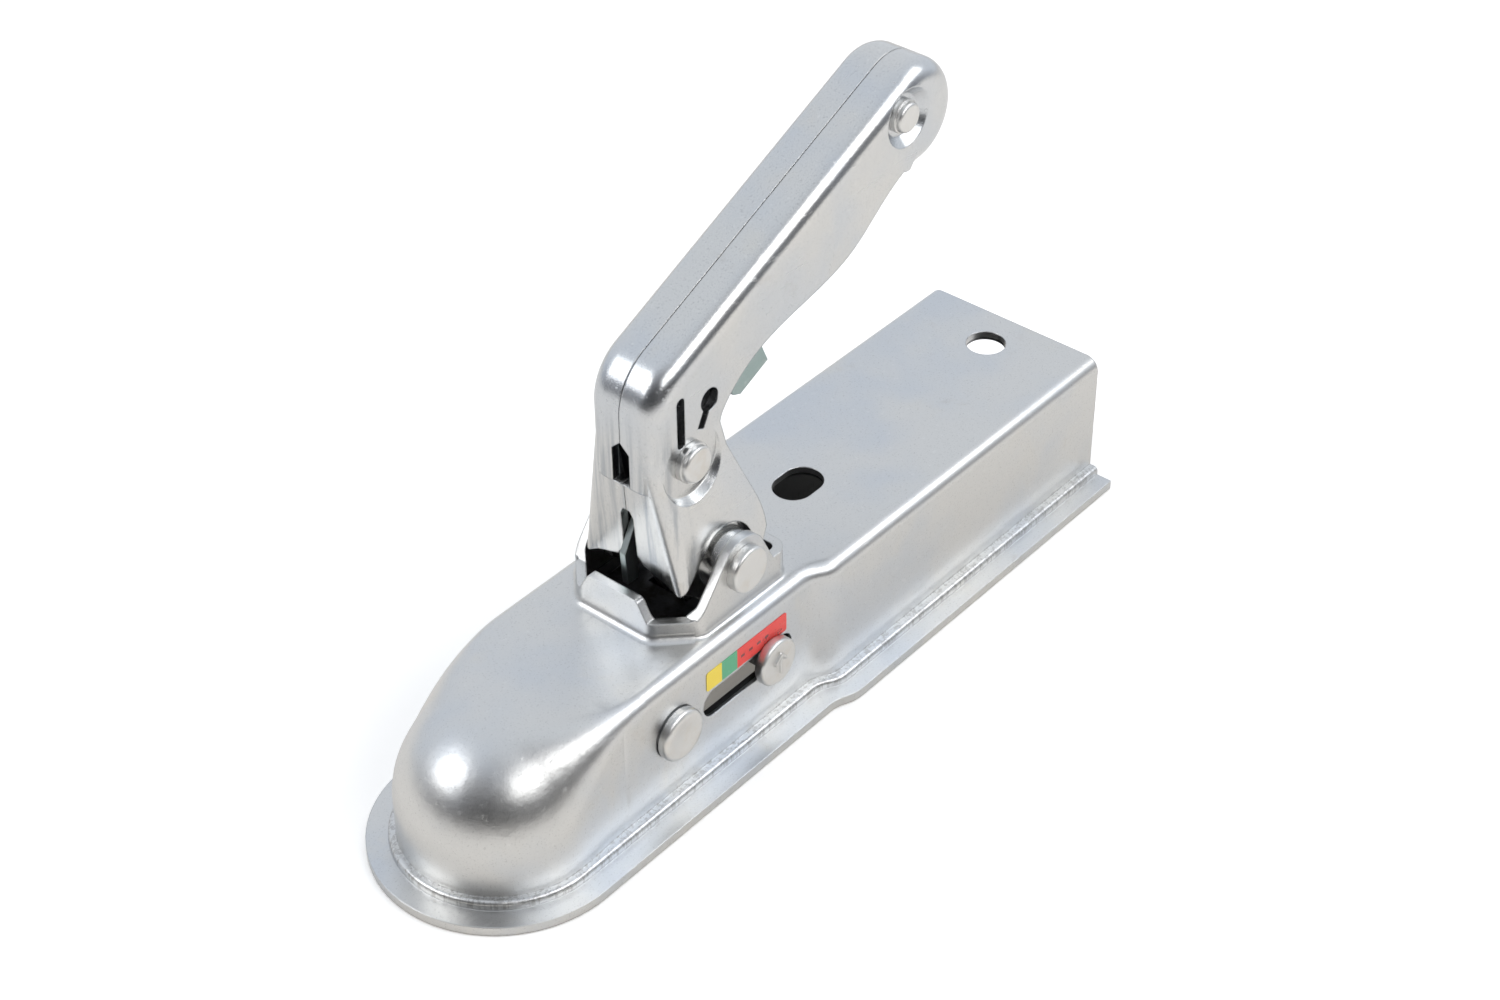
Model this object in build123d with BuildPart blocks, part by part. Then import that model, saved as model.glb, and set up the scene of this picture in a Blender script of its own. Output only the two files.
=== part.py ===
"""Trailer coupling head for a 50 mm ball, on a 60 mm square drawbar.

Frame: millimetres. X runs to the rear, along the drawbar. Y runs sideways. Z is up.
The origin is on the axis of the ball, at the underside of the housing's flange.
The coupling is drawn open: handle up, locking slider back, jaw swung clear of the ball.
"""
import os
from math import cos, radians, sin, tan

from build123d import *

# Sheet and ball
SHEET = 3.0
BALL_Z = 18.4

# Pressed housing, outside sizes
DRAWBAR_W = 60.0
FRONT_HALF_W = 29.2
BODY_H = 47.0
SHOULDER_R = 4.6
NOSE_X = -1.4
NOSE_LEN = 20.0
NOSE_GROW = 0.7
NOSE_FLAT = 0.8
NOSE_SECTIONS = 6
WIDEN_X = 96.5
WIDEN_LEN = 12.0
REAR_X = 238.3
FLANGE_W = 8.4
FLANGE_NOSE_W = 9.4
FOOT_W = 3.0
FOOT_H = 5.8
FOOT_R = 1.4

# Bolt holes in the drawbar channel's top
BOLT_HOLE_R = 6.4
REAR_HOLE_X = 223.2
SLOT_HOLE_X = 128.6
SLOT_HOLE_EXTRA = 4.6

# Collar and ears that carry the handle, heights measured from the roof
PIVOT_X = 75.0
PIVOT_H = 14.5
EAR_OUT_Y = 24.0
EAR_R = 9.8
EAR_LEAD_ANGLE = 128.0
EAR_TAIL_ANGLE = 38.0
COLLAR_FRONT_X = 46.6
COLLAR_REAR_X = 95.6
COLLAR_CORNER = 10.5
COLLAR_BEND_R = 5.0
COLLAR_ROOT_R = 1.6
LIP_H = 12.0
LIP_HALF_W = 7.6
NOTCH_H = 3.0
NOTCH_Y = 17.2
REAR_LIP_H = 9.5
REAR_LIP_RUN = 7.5
EAR_FOOT_X = 56.0
EAR_FOOT_H = 5.7

# Pivot pin
PIVOT_PIN_R = 6.0
PIVOT_HEAD_R = 7.2
PIVOT_HEAD_T = 3.2

# Jaw pin, across the housing behind the ball
JAW_X = 39.5
JAW_Z = 27.3
JAW_PIN_R = 5.0
JAW_HEAD_R = 7.6
JAW_HEAD_T = 2.8

# Indicator pin and its slot
SLOT_FRONT_X = 51.0
SLOT_REAR_X = 90.0
SLOT_H = 9.4
PIN_R = 4.0
PIN_X = 80.0
PIN_HEAD_R = 7.2
PIN_HEAD_T = 3.0

# Handle, heights measured from the pivot
STEM_X = 52.3
ARM_X = 86.2
ARM_UP = 79.5
ARM_ANGLE = 23.7
ELBOW_R = 18.0
ARM_HALF_W = 12.5
ARM_EDGE_R = 6.5
TIP_S = 82.0
TIP_R = 16.2
TIP_TAIL = 7.0
GRIP_END_S = 69.0
GRIP_END_D = 25.9
GRIP_BELLY_S = 42.0
GRIP_BELLY_D = 30.3
GRIP_WAIST_S = 8.0
GRIP_WAIST_D = 25.0
GRIP_ROOT_S = -13.8
GRIP_ROOT_D = 26.7
SEAM = 0.15
NECK_W = 27.1
NECK_RUN = 8.0
CHEEK_TOP_W = 28.3
FLARE_UP = 42.5
FLARE_DOWN = 15.5
FLARE_OVERLAP = 12.0
FLARE_HALF_W = 20.8
FLARE_FRONT_X = 56.2
FLARE_EDGE_R = 2.0
CHEEK_LOBE_R = 14.2
CHEEK_LOBE_ANGLE = 36.0
CHEEK_REAR_X = 92.0
CHEEK_REAR_UP = 1.5
CHEEK_SIDE_X = 88.4
CHEEK_SIDE_UP = 16.0
STEP_R = 10.8
STEP_Y = 15.5
STEP_LEAD_ANGLE = 133.0
STEP_FRONT_X = 54.7
STEP_DOWN = 3.4
BOSS_R = 9.2
BOSS_GAP = 0.3
FORK_TOP_UP = 21.0
FORK_NECK_Y = 2.4
FORK_NECK_UP = 5.5
FORK_HEM_Y = 12.5
FORK_TIP_DOWN = 5.0
FORK_TIP_W = 6.5
FORK_CUT = 1.0

# Rivets of the handle
CATCH_X = 66.5
CATCH_UP = 36.5
CATCH_RIVET_R = 4.0
CATCH_HEAD_R = 5.6
CATCH_HEAD_T = 3.6
CATCH_PANEL_R = 11.2
CATCH_PANEL_SLOPE = 0.6
TIP_RIVET_X = 161.2
TIP_RIVET_UP = 100.5
TIP_RIVET_R = 3.0
TIP_HEAD_R = 4.6
TIP_HEAD_T = 3.6
DIMPLE_R = 9.2
DIMPLE_FLOOR_R = 6.4
DIMPLE_DEPTH = 2.8
HEAD_STEP = 0.5

# Openings in the handle's side
KEYHOLE_X = 75.2
KEYHOLE_UP = 52.1
KEYHOLE_R = 3.6
KEYHOLE_NECK = 8.6
KEYHOLE_NECK_W = 2.8
KEYHOLE_ANGLE = 243.0
SIDE_SLOT_X = 63.4
SIDE_SLOT_UP = 50.5
SIDE_SLOT_LEN = 16.5
SIDE_SLOT_W = 3.3
WINDOW_UP = 37.0
WINDOW_H = 12.5
WINDOW_W = 3.2
WINDOW_CUT = 1.5

# Safety catch
CATCH_PLATE_T = 2.0
CATCH_PLATE_Y = 0.1
TRIGGER_T = 2.3
TRIGGER_GAP = 0.3
TRIGGER_S = 3.5
TRIGGER_LEN = 15.2
TRIGGER_TOP = 19.0
TRIGGER_LOW = 35.5
CATCH_HUB_R = 7.0
CATCH_KNEE_X = 52.6
CATCH_KNEE_RUN = 5.6
CATCH_KNEE_DROP = 5.5
CATCH_LEG_W = 5.0
CATCH_TOE_BACK = 0.8
CATCH_HUB_TURN = 30.0
CATCH_ARM_W = 9.0
CATCH_FOOT_DOWN = 5.5
CATCH_SPRING_TURNS = 3
CATCH_SPRING_R = 5.0
CATCH_WIRE_R = 0.45

# Drive plates, locking slider, spring and seat
DRIVE_T = 3.0
DRIVE_IN_Y = 3.6
DRIVE_SLOT_GAP = 0.8
DRIVE_PRONG_W = 2.4
DRIVE_HUB_R = 10.0
DRIVE_HEAD_R = 7.4
DRIVE_TOE_DROP = 8.3
PIVOT_SPACER_R = 8.5
TIP_SPACER_R = 5.5
SLIDER_HALF_W = 18.0
SLIDER_ROOF_GAP = 0.6
SLIDER_DROP = 9.8
SLIDER_NOSE = 32.0
SLIDER_REAR = 15.5
SLIDER_REAR_WALL = 3.0
SLIDER_POCKET_Y = 7.4
WEDGE_NOSE_T = 4.2
WEDGE_ROOT_T = 5.4
RAIL_T = 7.9
SLIDER_ROOT = 10.5
SLIDER_CHEEK = 8.0
SLIDER_CORNER = 5.0
SPRING_WIRE_R = 1.25
SPRING_MEAN_R = 7.2
SPRING_TURNS = 5
SPRING_SIDE_GAP = 0.25
SEAT_X = 112.0
SEAT_T = 3.0
SEAT_HALF_W = 15.0
SEAT_DROP = 12.3
SEAT_FLANGE = 15.0
SEAT_BOSS_GAP = 0.5
SEAT_BOSS_LEN = 4.0

# Jaw
JAW_HALF_W = 19.0
JAW_HUB_R = 7.6
JAW_POCKET_R = 25.4
JAW_OPEN_ANGLE = 11.3
JAW_FRONT_X = 14.0
JAW_TOP_Z = 26.0
JAW_LIP_Z = 5.0
JAW_LIP_REACH = 10.0
JAW_NECK_ANGLE = -33.0
JAW_BACK_ANGLE = 113.0
JAW_CROWN_REACH = 8.5
HEEL_R = 3.0
HEEL_REACH = 8.5
HEEL_ANGLE = 75.0
HEEL_HALF_W = 10.0

# Clearances and edge breaks
RUN_CLEAR = 0.06
SIDE_GAP = 0.2
PIN_HEAD_GAP = 0.5
HEAD_EDGE = 0.3

# Label
LABEL_X = 52.4
LABEL_LEN = 35.0
LABEL_GAP = 1.0
LABEL_H = 6.6
LABEL_T = 0.2
LABEL_CORNER = 0.8

# Worked out from the sizes above
REAR_HALF_W = DRAWBAR_W / 2 + SHEET
EAR_IN_Y = EAR_OUT_Y - SHEET
ROOF_Z = BODY_H - SHEET
PIVOT_Z = BODY_H + PIVOT_H
LIP_TOP_Z = BODY_H + LIP_H
NOTCH_Z = BODY_H + NOTCH_H
REAR_LIP_Z = BODY_H + REAR_LIP_H
ARM_Z = PIVOT_Z + ARM_UP
ARM_DIR = (cos(radians(ARM_ANGLE)), sin(radians(ARM_ANGLE)))
FLARE_TOP_Z = PIVOT_Z + FLARE_UP
FORK_TOP_Z = PIVOT_Z + FORK_TOP_UP
FORK_TIP_Z = PIVOT_Z - FORK_TIP_DOWN
CATCH_Z = PIVOT_Z + CATCH_UP
TIP_RIVET_Z = PIVOT_Z + TIP_RIVET_UP
TRIGGER_OUT_Y = ARM_HALF_W - SHEET - TRIGGER_GAP
SLIDER_TOP_Z = ROOF_Z - SLIDER_ROOF_GAP
DRIVE_OUT_Y = DRIVE_IN_Y + DRIVE_T
WIDE = 4 * REAR_HALF_W


def export_part(part, name):
    """Give a finished part its label and write it to the parts folder."""
    part.label = name
    os.makedirs("parts", exist_ok=True)
    export_step(part, "parts/" + name + ".step")


def turned(point, centre, angle):
    """Point of the XZ plane turned about a centre, anticlockwise with X right and Z up."""
    a = radians(angle)
    dx = point[0] - centre[0]
    dz = point[1] - centre[1]
    return (centre[0] + dx * cos(a) - dz * sin(a), centre[1] + dx * sin(a) + dz * cos(a))


def around(centre, radius, angle):
    """Point of the XZ plane at a radius from a centre, its angle counted from +X towards +Z."""
    return turned((centre[0] + radius, centre[1]), centre, angle)


def arm_point(along, down):
    """Point in the XZ plane, a distance along the arm's back and square below it."""
    x = ARM_X + along * ARM_DIR[0] + down * ARM_DIR[1]
    z = ARM_Z + along * ARM_DIR[1] - down * ARM_DIR[0]
    return (x, z)


def side_plane(y):
    """Sketch plane parallel to XZ at a given Y; extrusions run towards -Y."""
    return Plane((0, y, 0), x_dir=(1, 0, 0), z_dir=(0, -1, 0))


def across(x):
    """Plane across the body at a given X, local x along +Y and local y up."""
    return Plane((x, 0, 0), x_dir=(0, 1, 0), z_dir=(1, 0, 0))


def plan_outline(half_front, half_rear, front_x, rear_x):
    """Plan of the body from front_x to rear_x, with the S-shaped widening of both sides."""
    mid_x = WIDEN_X + WIDEN_LEN / 2
    end_x = WIDEN_X + WIDEN_LEN
    mid_w = (half_front + half_rear) / 2
    with BuildLine() as outline:
        for side in (1, -1):
            Line((front_x, side * half_front), (WIDEN_X, side * half_front))
            TangentArc((WIDEN_X, side * half_front), (mid_x, side * mid_w), tangent=(1, 0))
            TangentArc((end_x, side * half_rear), (mid_x, side * mid_w), tangent=(-1, 0))
            Line((end_x, side * half_rear), (rear_x, side * half_rear))
        Line((front_x, -half_front), (front_x, half_front))
        Line((rear_x, -half_rear), (rear_x, half_rear))
    return outline.line


def nose_widths(x, inset):
    """Half width and shoulder radius at X: both ease from the dome's to those of the straight body."""
    t = (x - NOSE_X) / NOSE_LEN
    eased = t * t * (3 - 2 * t)
    dome_w = FRONT_HALF_W + NOSE_GROW
    crown = dome_w - NOSE_FLAT
    half_w = dome_w + (FRONT_HALF_W - dome_w) * eased
    radius = crown + (SHOULDER_R - crown) * eased
    return (half_w - inset, radius - inset)


def nose_section(x, inset):
    """Closed outline across the body at X, from Z=0 up; local x is Y and local y is Z."""
    half_w, radius = nose_widths(x, inset)
    top = BODY_H - inset
    with BuildLine() as outline:
        Line((half_w, 0), (half_w, top - radius))
        RadiusArc((half_w, top - radius), (half_w - radius, top), -radius)
        Line((half_w - radius, top), (radius - half_w, top))
        RadiusArc((radius - half_w, top), (-half_w, top - radius), -radius)
        Line((-half_w, top - radius), (-half_w, 0))
        Line((-half_w, 0), (half_w, 0))
    return outline.line


def body_form(inset, rear_x):
    """Solid form of the pressed body: dome, nose that flows into the shoulders, channel that widens."""
    top = BODY_H - inset
    straight_x = NOSE_X + NOSE_LEN
    dome_w, crown = nose_widths(NOSE_X, inset)
    with BuildPart() as form:
        with BuildSketch(Plane.XY):
            make_face(plan_outline(FRONT_HALF_W - inset, REAR_HALF_W - inset, straight_x, rear_x))
        extrude(amount=top)
        shoulders = form.edges().filter_by(Plane.XY).group_by(Axis.Z)[-1]
        fillet([e for e in shoulders if e.bounding_box().size.X > SHEET], radius=SHOULDER_R - inset)
        for step in range(NOSE_SECTIONS + 1):
            x = NOSE_X + NOSE_LEN * step / NOSE_SECTIONS
            with BuildSketch(across(x)):
                make_face(nose_section(x, inset))
        loft()
        with BuildSketch(across(NOSE_X)):
            with BuildLine():
                Line((0, 0), (dome_w, 0))
                Line((dome_w, 0), (dome_w, top - crown))
                RadiusArc((dome_w, top - crown), (dome_w - crown, top), -crown)
                Line((dome_w - crown, top), (0, top))
                Line((0, top), (0, 0))
            make_face()
        revolve(axis=Axis((NOSE_X, 0, 0), (0, 0, 1)), revolution_arc=180)
    return form.part


def foot_plan(grow, grow_nose):
    """Plan of the flange or of its foot bead: the body's plan grown outwards."""
    half_front = FRONT_HALF_W + grow_nose
    half_rear = REAR_HALF_W + grow
    with BuildSketch() as plan:
        make_face(plan_outline(half_front, half_rear, NOSE_X, REAR_X))
        with Locations((NOSE_X, 0)):
            Circle(half_front)
    return plan.sketch


def collar_plan(inset):
    """Plan of the collar round the opening in the roof, with cut front corners, moved in by the inset."""
    with BuildSketch() as plan:
        with BuildLine():
            FilletPolyline(
                (COLLAR_FRONT_X, EAR_OUT_Y - COLLAR_CORNER),
                (COLLAR_FRONT_X + COLLAR_CORNER, EAR_OUT_Y),
                (COLLAR_REAR_X, EAR_OUT_Y),
                (COLLAR_REAR_X, -EAR_OUT_Y),
                (COLLAR_FRONT_X + COLLAR_CORNER, -EAR_OUT_Y),
                (COLLAR_FRONT_X, COLLAR_CORNER - EAR_OUT_Y),
                radius=COLLAR_BEND_R,
                close=True,
            )
        make_face()
        if inset:
            offset(amount=-inset, mode=Mode.REPLACE)
    return plan.sketch


def ear_profile():
    """Side view of what stays of the collar: ears about the pivot, low rear lip, front lip."""
    rear = COLLAR_REAR_X + SHEET
    front = COLLAR_FRONT_X - SHEET
    foot_z = BODY_H + EAR_FOOT_H
    lead = around((PIVOT_X, PIVOT_Z), EAR_R, EAR_LEAD_ANGLE)
    tail = around((PIVOT_X, PIVOT_Z), EAR_R, EAR_TAIL_ANGLE)
    with BuildSketch() as keep:
        with BuildLine():
            Polyline((front, ROOF_Z), (front, foot_z), (EAR_FOOT_X, foot_z), lead)
            ThreePointArc(lead, (PIVOT_X, PIVOT_Z + EAR_R), tail)
            Polyline(
                tail,
                (COLLAR_REAR_X - REAR_LIP_RUN, REAR_LIP_Z),
                (rear, REAR_LIP_Z),
                (rear, ROOF_Z),
                (front, ROOF_Z),
            )
        make_face()
    return keep.sketch


def front_lip_profile():
    """Front view of what stays of the collar's front: a flat lip with a dip at each corner."""
    with BuildSketch() as keep:
        with BuildLine():
            FilletPolyline(
                (0, ROOF_Z),
                (REAR_HALF_W, ROOF_Z),
                (REAR_HALF_W, LIP_TOP_Z),
                (NOTCH_Y + 1.5 * SHEET, NOTCH_Z + SHEET),
                (NOTCH_Y + SHEET / 2, NOTCH_Z),
                (NOTCH_Y - SHEET, NOTCH_Z),
                (LIP_HALF_W + SHEET / 2, LIP_TOP_Z),
                (0, LIP_TOP_Z),
                radius=COLLAR_ROOT_R,
            )
            Line((0, LIP_TOP_Z), (0, ROOF_Z))
        make_face()
        mirror(about=Plane.YZ)
    return keep.sketch


def collar_wall():
    """The sheet that stands round the roof's opening, before its top edge is cut to shape."""
    with BuildPart() as wall:
        with BuildSketch(Plane.XY.offset(ROOF_Z)):
            add(collar_plan(0))
            add(collar_plan(SHEET), mode=Mode.SUBTRACT)
        extrude(amount=PIVOT_H + EAR_R + 2 * SHEET)
    return wall.part


def across_bore(x, z, radius):
    """Cylinder along Y, wider than the whole coupling, that cuts a hole through both sides."""
    plane = Plane((x, WIDE / 2, z), x_dir=(1, 0, 0), z_dir=(0, -1, 0))
    return Solid.make_cylinder(radius, WIDE, plane)


# Housing: one pressed sheet, with its flange, collar, ears, slots and bolt holes
outer_form = body_form(0, REAR_X)
inner_form = body_form(SHEET, REAR_X + SHEET)

with BuildPart() as ears:
    add(collar_wall())
    with BuildSketch(side_plane(WIDE / 2)):
        add(ear_profile())
    extrude(amount=WIDE, mode=Mode.INTERSECT)

with BuildPart() as front_lip:
    add(collar_wall())
    with BuildSketch(across(COLLAR_FRONT_X - SHEET)):
        add(front_lip_profile())
    extrude(amount=EAR_FOOT_X - COLLAR_FRONT_X + SHEET, mode=Mode.INTERSECT)

with BuildPart() as foot_bead:
    with BuildSketch(Plane.XY):
        add(foot_plan(FOOT_W, FOOT_W))
    extrude(amount=FOOT_H)
    rim = foot_bead.edges().group_by(Axis.Z)[-1]
    fillet([e for e in rim if e.bounding_box().size.X > SHEET], radius=FOOT_R)

with BuildPart() as housing_shell:
    add(outer_form)
    with BuildSketch(Plane.XY):
        add(foot_plan(FLANGE_W, FLANGE_NOSE_W))
    extrude(amount=SHEET)
    add(foot_bead.part)
    add(inner_form, mode=Mode.SUBTRACT)
    # opening in the roof inside the collar
    with BuildSketch(Plane.XY.offset(ROOF_Z - SHEET)):
        add(collar_plan(SHEET))
    extrude(amount=3 * SHEET, mode=Mode.SUBTRACT)
    add(ears.part)
    add(front_lip.part)
    # the bend where the collar rises from the roof
    level = housing_shell.edges().filter_by_position(Axis.Z, BODY_H - SIDE_GAP, BODY_H + SIDE_GAP)
    level = level.filter_by_position(Axis.Y, -EAR_OUT_Y - SIDE_GAP, EAR_OUT_Y + SIDE_GAP)
    fillet(level.filter_by_position(Axis.X, COLLAR_FRONT_X, COLLAR_REAR_X), radius=COLLAR_ROOT_R)
    # pivot holes in the ears, holes for the jaw pin
    add(across_bore(PIVOT_X, PIVOT_Z, PIVOT_PIN_R), mode=Mode.SUBTRACT)
    add(across_bore(JAW_X, JAW_Z, JAW_PIN_R), mode=Mode.SUBTRACT)
    # slots for the indicator pin, in both walls
    with BuildSketch(side_plane(WIDE / 2)):
        with Locations(((SLOT_FRONT_X + SLOT_REAR_X) / 2, JAW_Z)):
            SlotOverall(SLOT_REAR_X - SLOT_FRONT_X, SLOT_H)
    extrude(amount=WIDE, mode=Mode.SUBTRACT)
    # bolt holes in the roof of the drawbar channel
    with BuildSketch(Plane.XY.offset(ROOF_Z - SHEET)):
        with Locations((REAR_HOLE_X, 0)):
            Circle(BOLT_HOLE_R)
        with Locations((SLOT_HOLE_X, 0)):
            SlotCenterToCenter(SLOT_HOLE_EXTRA, 2 * BOLT_HOLE_R)
    extrude(amount=3 * SHEET, mode=Mode.SUBTRACT)

export_part(housing_shell.part, "housing_shell")


# Handle: two pressed halves, mirror images about the seam
def other_leg(long_side, leg):
    """Third side of a right-angled triangle with this long side and this leg."""
    return (long_side * long_side - leg * leg) ** 0.5


def arm_outline(inset):
    """Side view of the stem and arm; inset by the sheet gives the hollow, open along the underside."""
    radius = TIP_R - inset
    stem = STEM_X + inset
    foot_z = FLARE_TOP_Z - FLARE_OVERLAP
    elbow_z = ARM_Z + (STEM_X - ARM_X) * ARM_DIR[1] / ARM_DIR[0]
    reach = ELBOW_R * tan(radians((90 - ARM_ANGLE) / 2))
    stem_top = (stem, elbow_z - reach)
    arm_start = arm_point((STEM_X - ARM_X) / ARM_DIR[0] + reach, inset)
    arm_end = arm_point(TIP_S, inset)
    under = arm_point(TIP_S - TIP_TAIL, TIP_R + other_leg(radius, TIP_TAIL))
    with BuildLine() as outline:
        Line((stem, foot_z), stem_top)
        RadiusArc(stem_top, arm_start, ELBOW_R - inset)
        Line(arm_start, arm_end)
        ThreePointArc(arm_end, arm_point(TIP_S + radius, TIP_R), under)
        if inset:
            deep = 2 * GRIP_BELLY_D
            Polyline(under, arm_point(TIP_S - 2 * TIP_TAIL, deep), (STEM_X + deep, foot_z), (stem, foot_z))
        else:
            grip = [
                arm_point(GRIP_END_S, GRIP_END_D),
                arm_point(GRIP_BELLY_S, GRIP_BELLY_D),
                arm_point(GRIP_WAIST_S, GRIP_WAIST_D),
                arm_point(GRIP_ROOT_S, GRIP_ROOT_D),
                (STEM_X + NECK_W, FLARE_TOP_Z),
                (STEM_X + CHEEK_TOP_W, FLARE_TOP_Z - NECK_RUN),
            ]
            Line(under, grip[0])
            Spline(grip, tangents=[(-ARM_DIR[0], -ARM_DIR[1]), (0, -1)])
            Polyline(grip[-1], (STEM_X + CHEEK_TOP_W, foot_z), (stem, foot_z))
    return outline.line


def flare_section(front, half_w, rear, radius):
    """Plan of the stem at one height: seam side open at Y=0, front corner rounded."""
    with BuildSketch() as section:
        with BuildLine():
            Polyline((front, 0), (front, radius - half_w))
            RadiusArc((front, radius - half_w), (front + radius, -half_w), -radius)
            Polyline((front + radius, -half_w), (rear, -half_w), (rear, 0), (front, 0))
        make_face()
    return section.sketch


def flare_form(inset):
    """Lower stem, widening from the arm's width to the cheeks beside the pivot."""
    rear = CHEEK_REAR_X + CHEEK_LOBE_R
    with BuildPart() as form:
        with BuildSketch(Plane.XY.offset(FLARE_TOP_Z)):
            add(flare_section(STEM_X + inset, ARM_HALF_W - inset, rear, ARM_EDGE_R - inset))
        with BuildSketch(Plane.XY.offset(PIVOT_Z - FLARE_DOWN)):
            add(flare_section(FLARE_FRONT_X + inset, FLARE_HALF_W - inset, rear, FLARE_EDGE_R))
        loft()
    return form.part


def cheek_profile():
    """Side view of the cheek: front panel down to its tip, lobe about the pivot, sweeping rear edge."""
    front = STEM_X - SHEET
    pivot = (PIVOT_X, PIVOT_Z)
    lobe_front = around(pivot, CHEEK_LOBE_R, 180 + CHEEK_LOBE_ANGLE)
    lobe_rear = around(pivot, CHEEK_LOBE_R, -CHEEK_LOBE_ANGLE)
    neck = (STEM_X + CHEEK_TOP_W, FLARE_TOP_Z - NECK_RUN)
    side = (CHEEK_SIDE_X, PIVOT_Z + CHEEK_SIDE_UP)
    corner = (CHEEK_REAR_X, PIVOT_Z + CHEEK_REAR_UP)
    with BuildSketch() as profile:
        with BuildLine():
            Polyline((front, FLARE_TOP_Z), (front, FORK_TIP_Z), (STEM_X + FORK_TIP_W, FORK_TIP_Z), lobe_front)
            ThreePointArc(lobe_front, (PIVOT_X, PIVOT_Z - CHEEK_LOBE_R), lobe_rear)
            Line(lobe_rear, corner)
            slope = (side[0] - neck[0], side[1] - neck[1])
            Spline(side, corner, tangents=[slope, (0, -1)])
            Polyline(side, neck, (STEM_X + NECK_W, FLARE_TOP_Z), (front, FLARE_TOP_Z))
        make_face()
    return profile.sketch


def step_profile(grow):
    """Side view of the recess beside the ear: a disc about the pivot, open to the front and below."""
    radius = STEP_R + grow
    top = around((PIVOT_X, PIVOT_Z), radius, STEP_LEAD_ANGLE)
    tip = around((STEP_FRONT_X, PIVOT_Z - STEP_DOWN), grow, STEP_LEAD_ANGLE)
    low = PIVOT_Z - 2 * CHEEK_LOBE_R
    rear = PIVOT_X + radius
    with BuildSketch() as profile:
        with Locations((PIVOT_X, PIVOT_Z)):
            Circle(radius)
        Polygon(tip, top, (PIVOT_X, PIVOT_Z), (rear, PIVOT_Z), (rear, low), (tip[0], low), align=None)
    return profile.sketch


def bore(x, z, radius, y_from, y_to):
    """Cylinder along Y between two values of Y, for bores, pins and bosses."""
    plane = Plane((x, y_from, z), x_dir=(1, 0, 0), z_dir=(0, -1, 0))
    return Solid.make_cylinder(radius, y_from - y_to, plane)


def on_back(edge):
    """True for the edges of the arm's side face along the stem, the elbow, the back and the tip."""
    mid = edge.position_at(0.5)
    along = (mid.X - ARM_X) * ARM_DIR[0] + (mid.Z - ARM_Z) * ARM_DIR[1]
    down = (mid.X - ARM_X) * ARM_DIR[1] - (mid.Z - ARM_Z) * ARM_DIR[0]
    on_stem = mid.X < STEM_X + ARM_EDGE_R
    return on_stem or down < SHEET or (along > TIP_S - TIP_TAIL and down < 2 * TIP_R)


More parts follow.
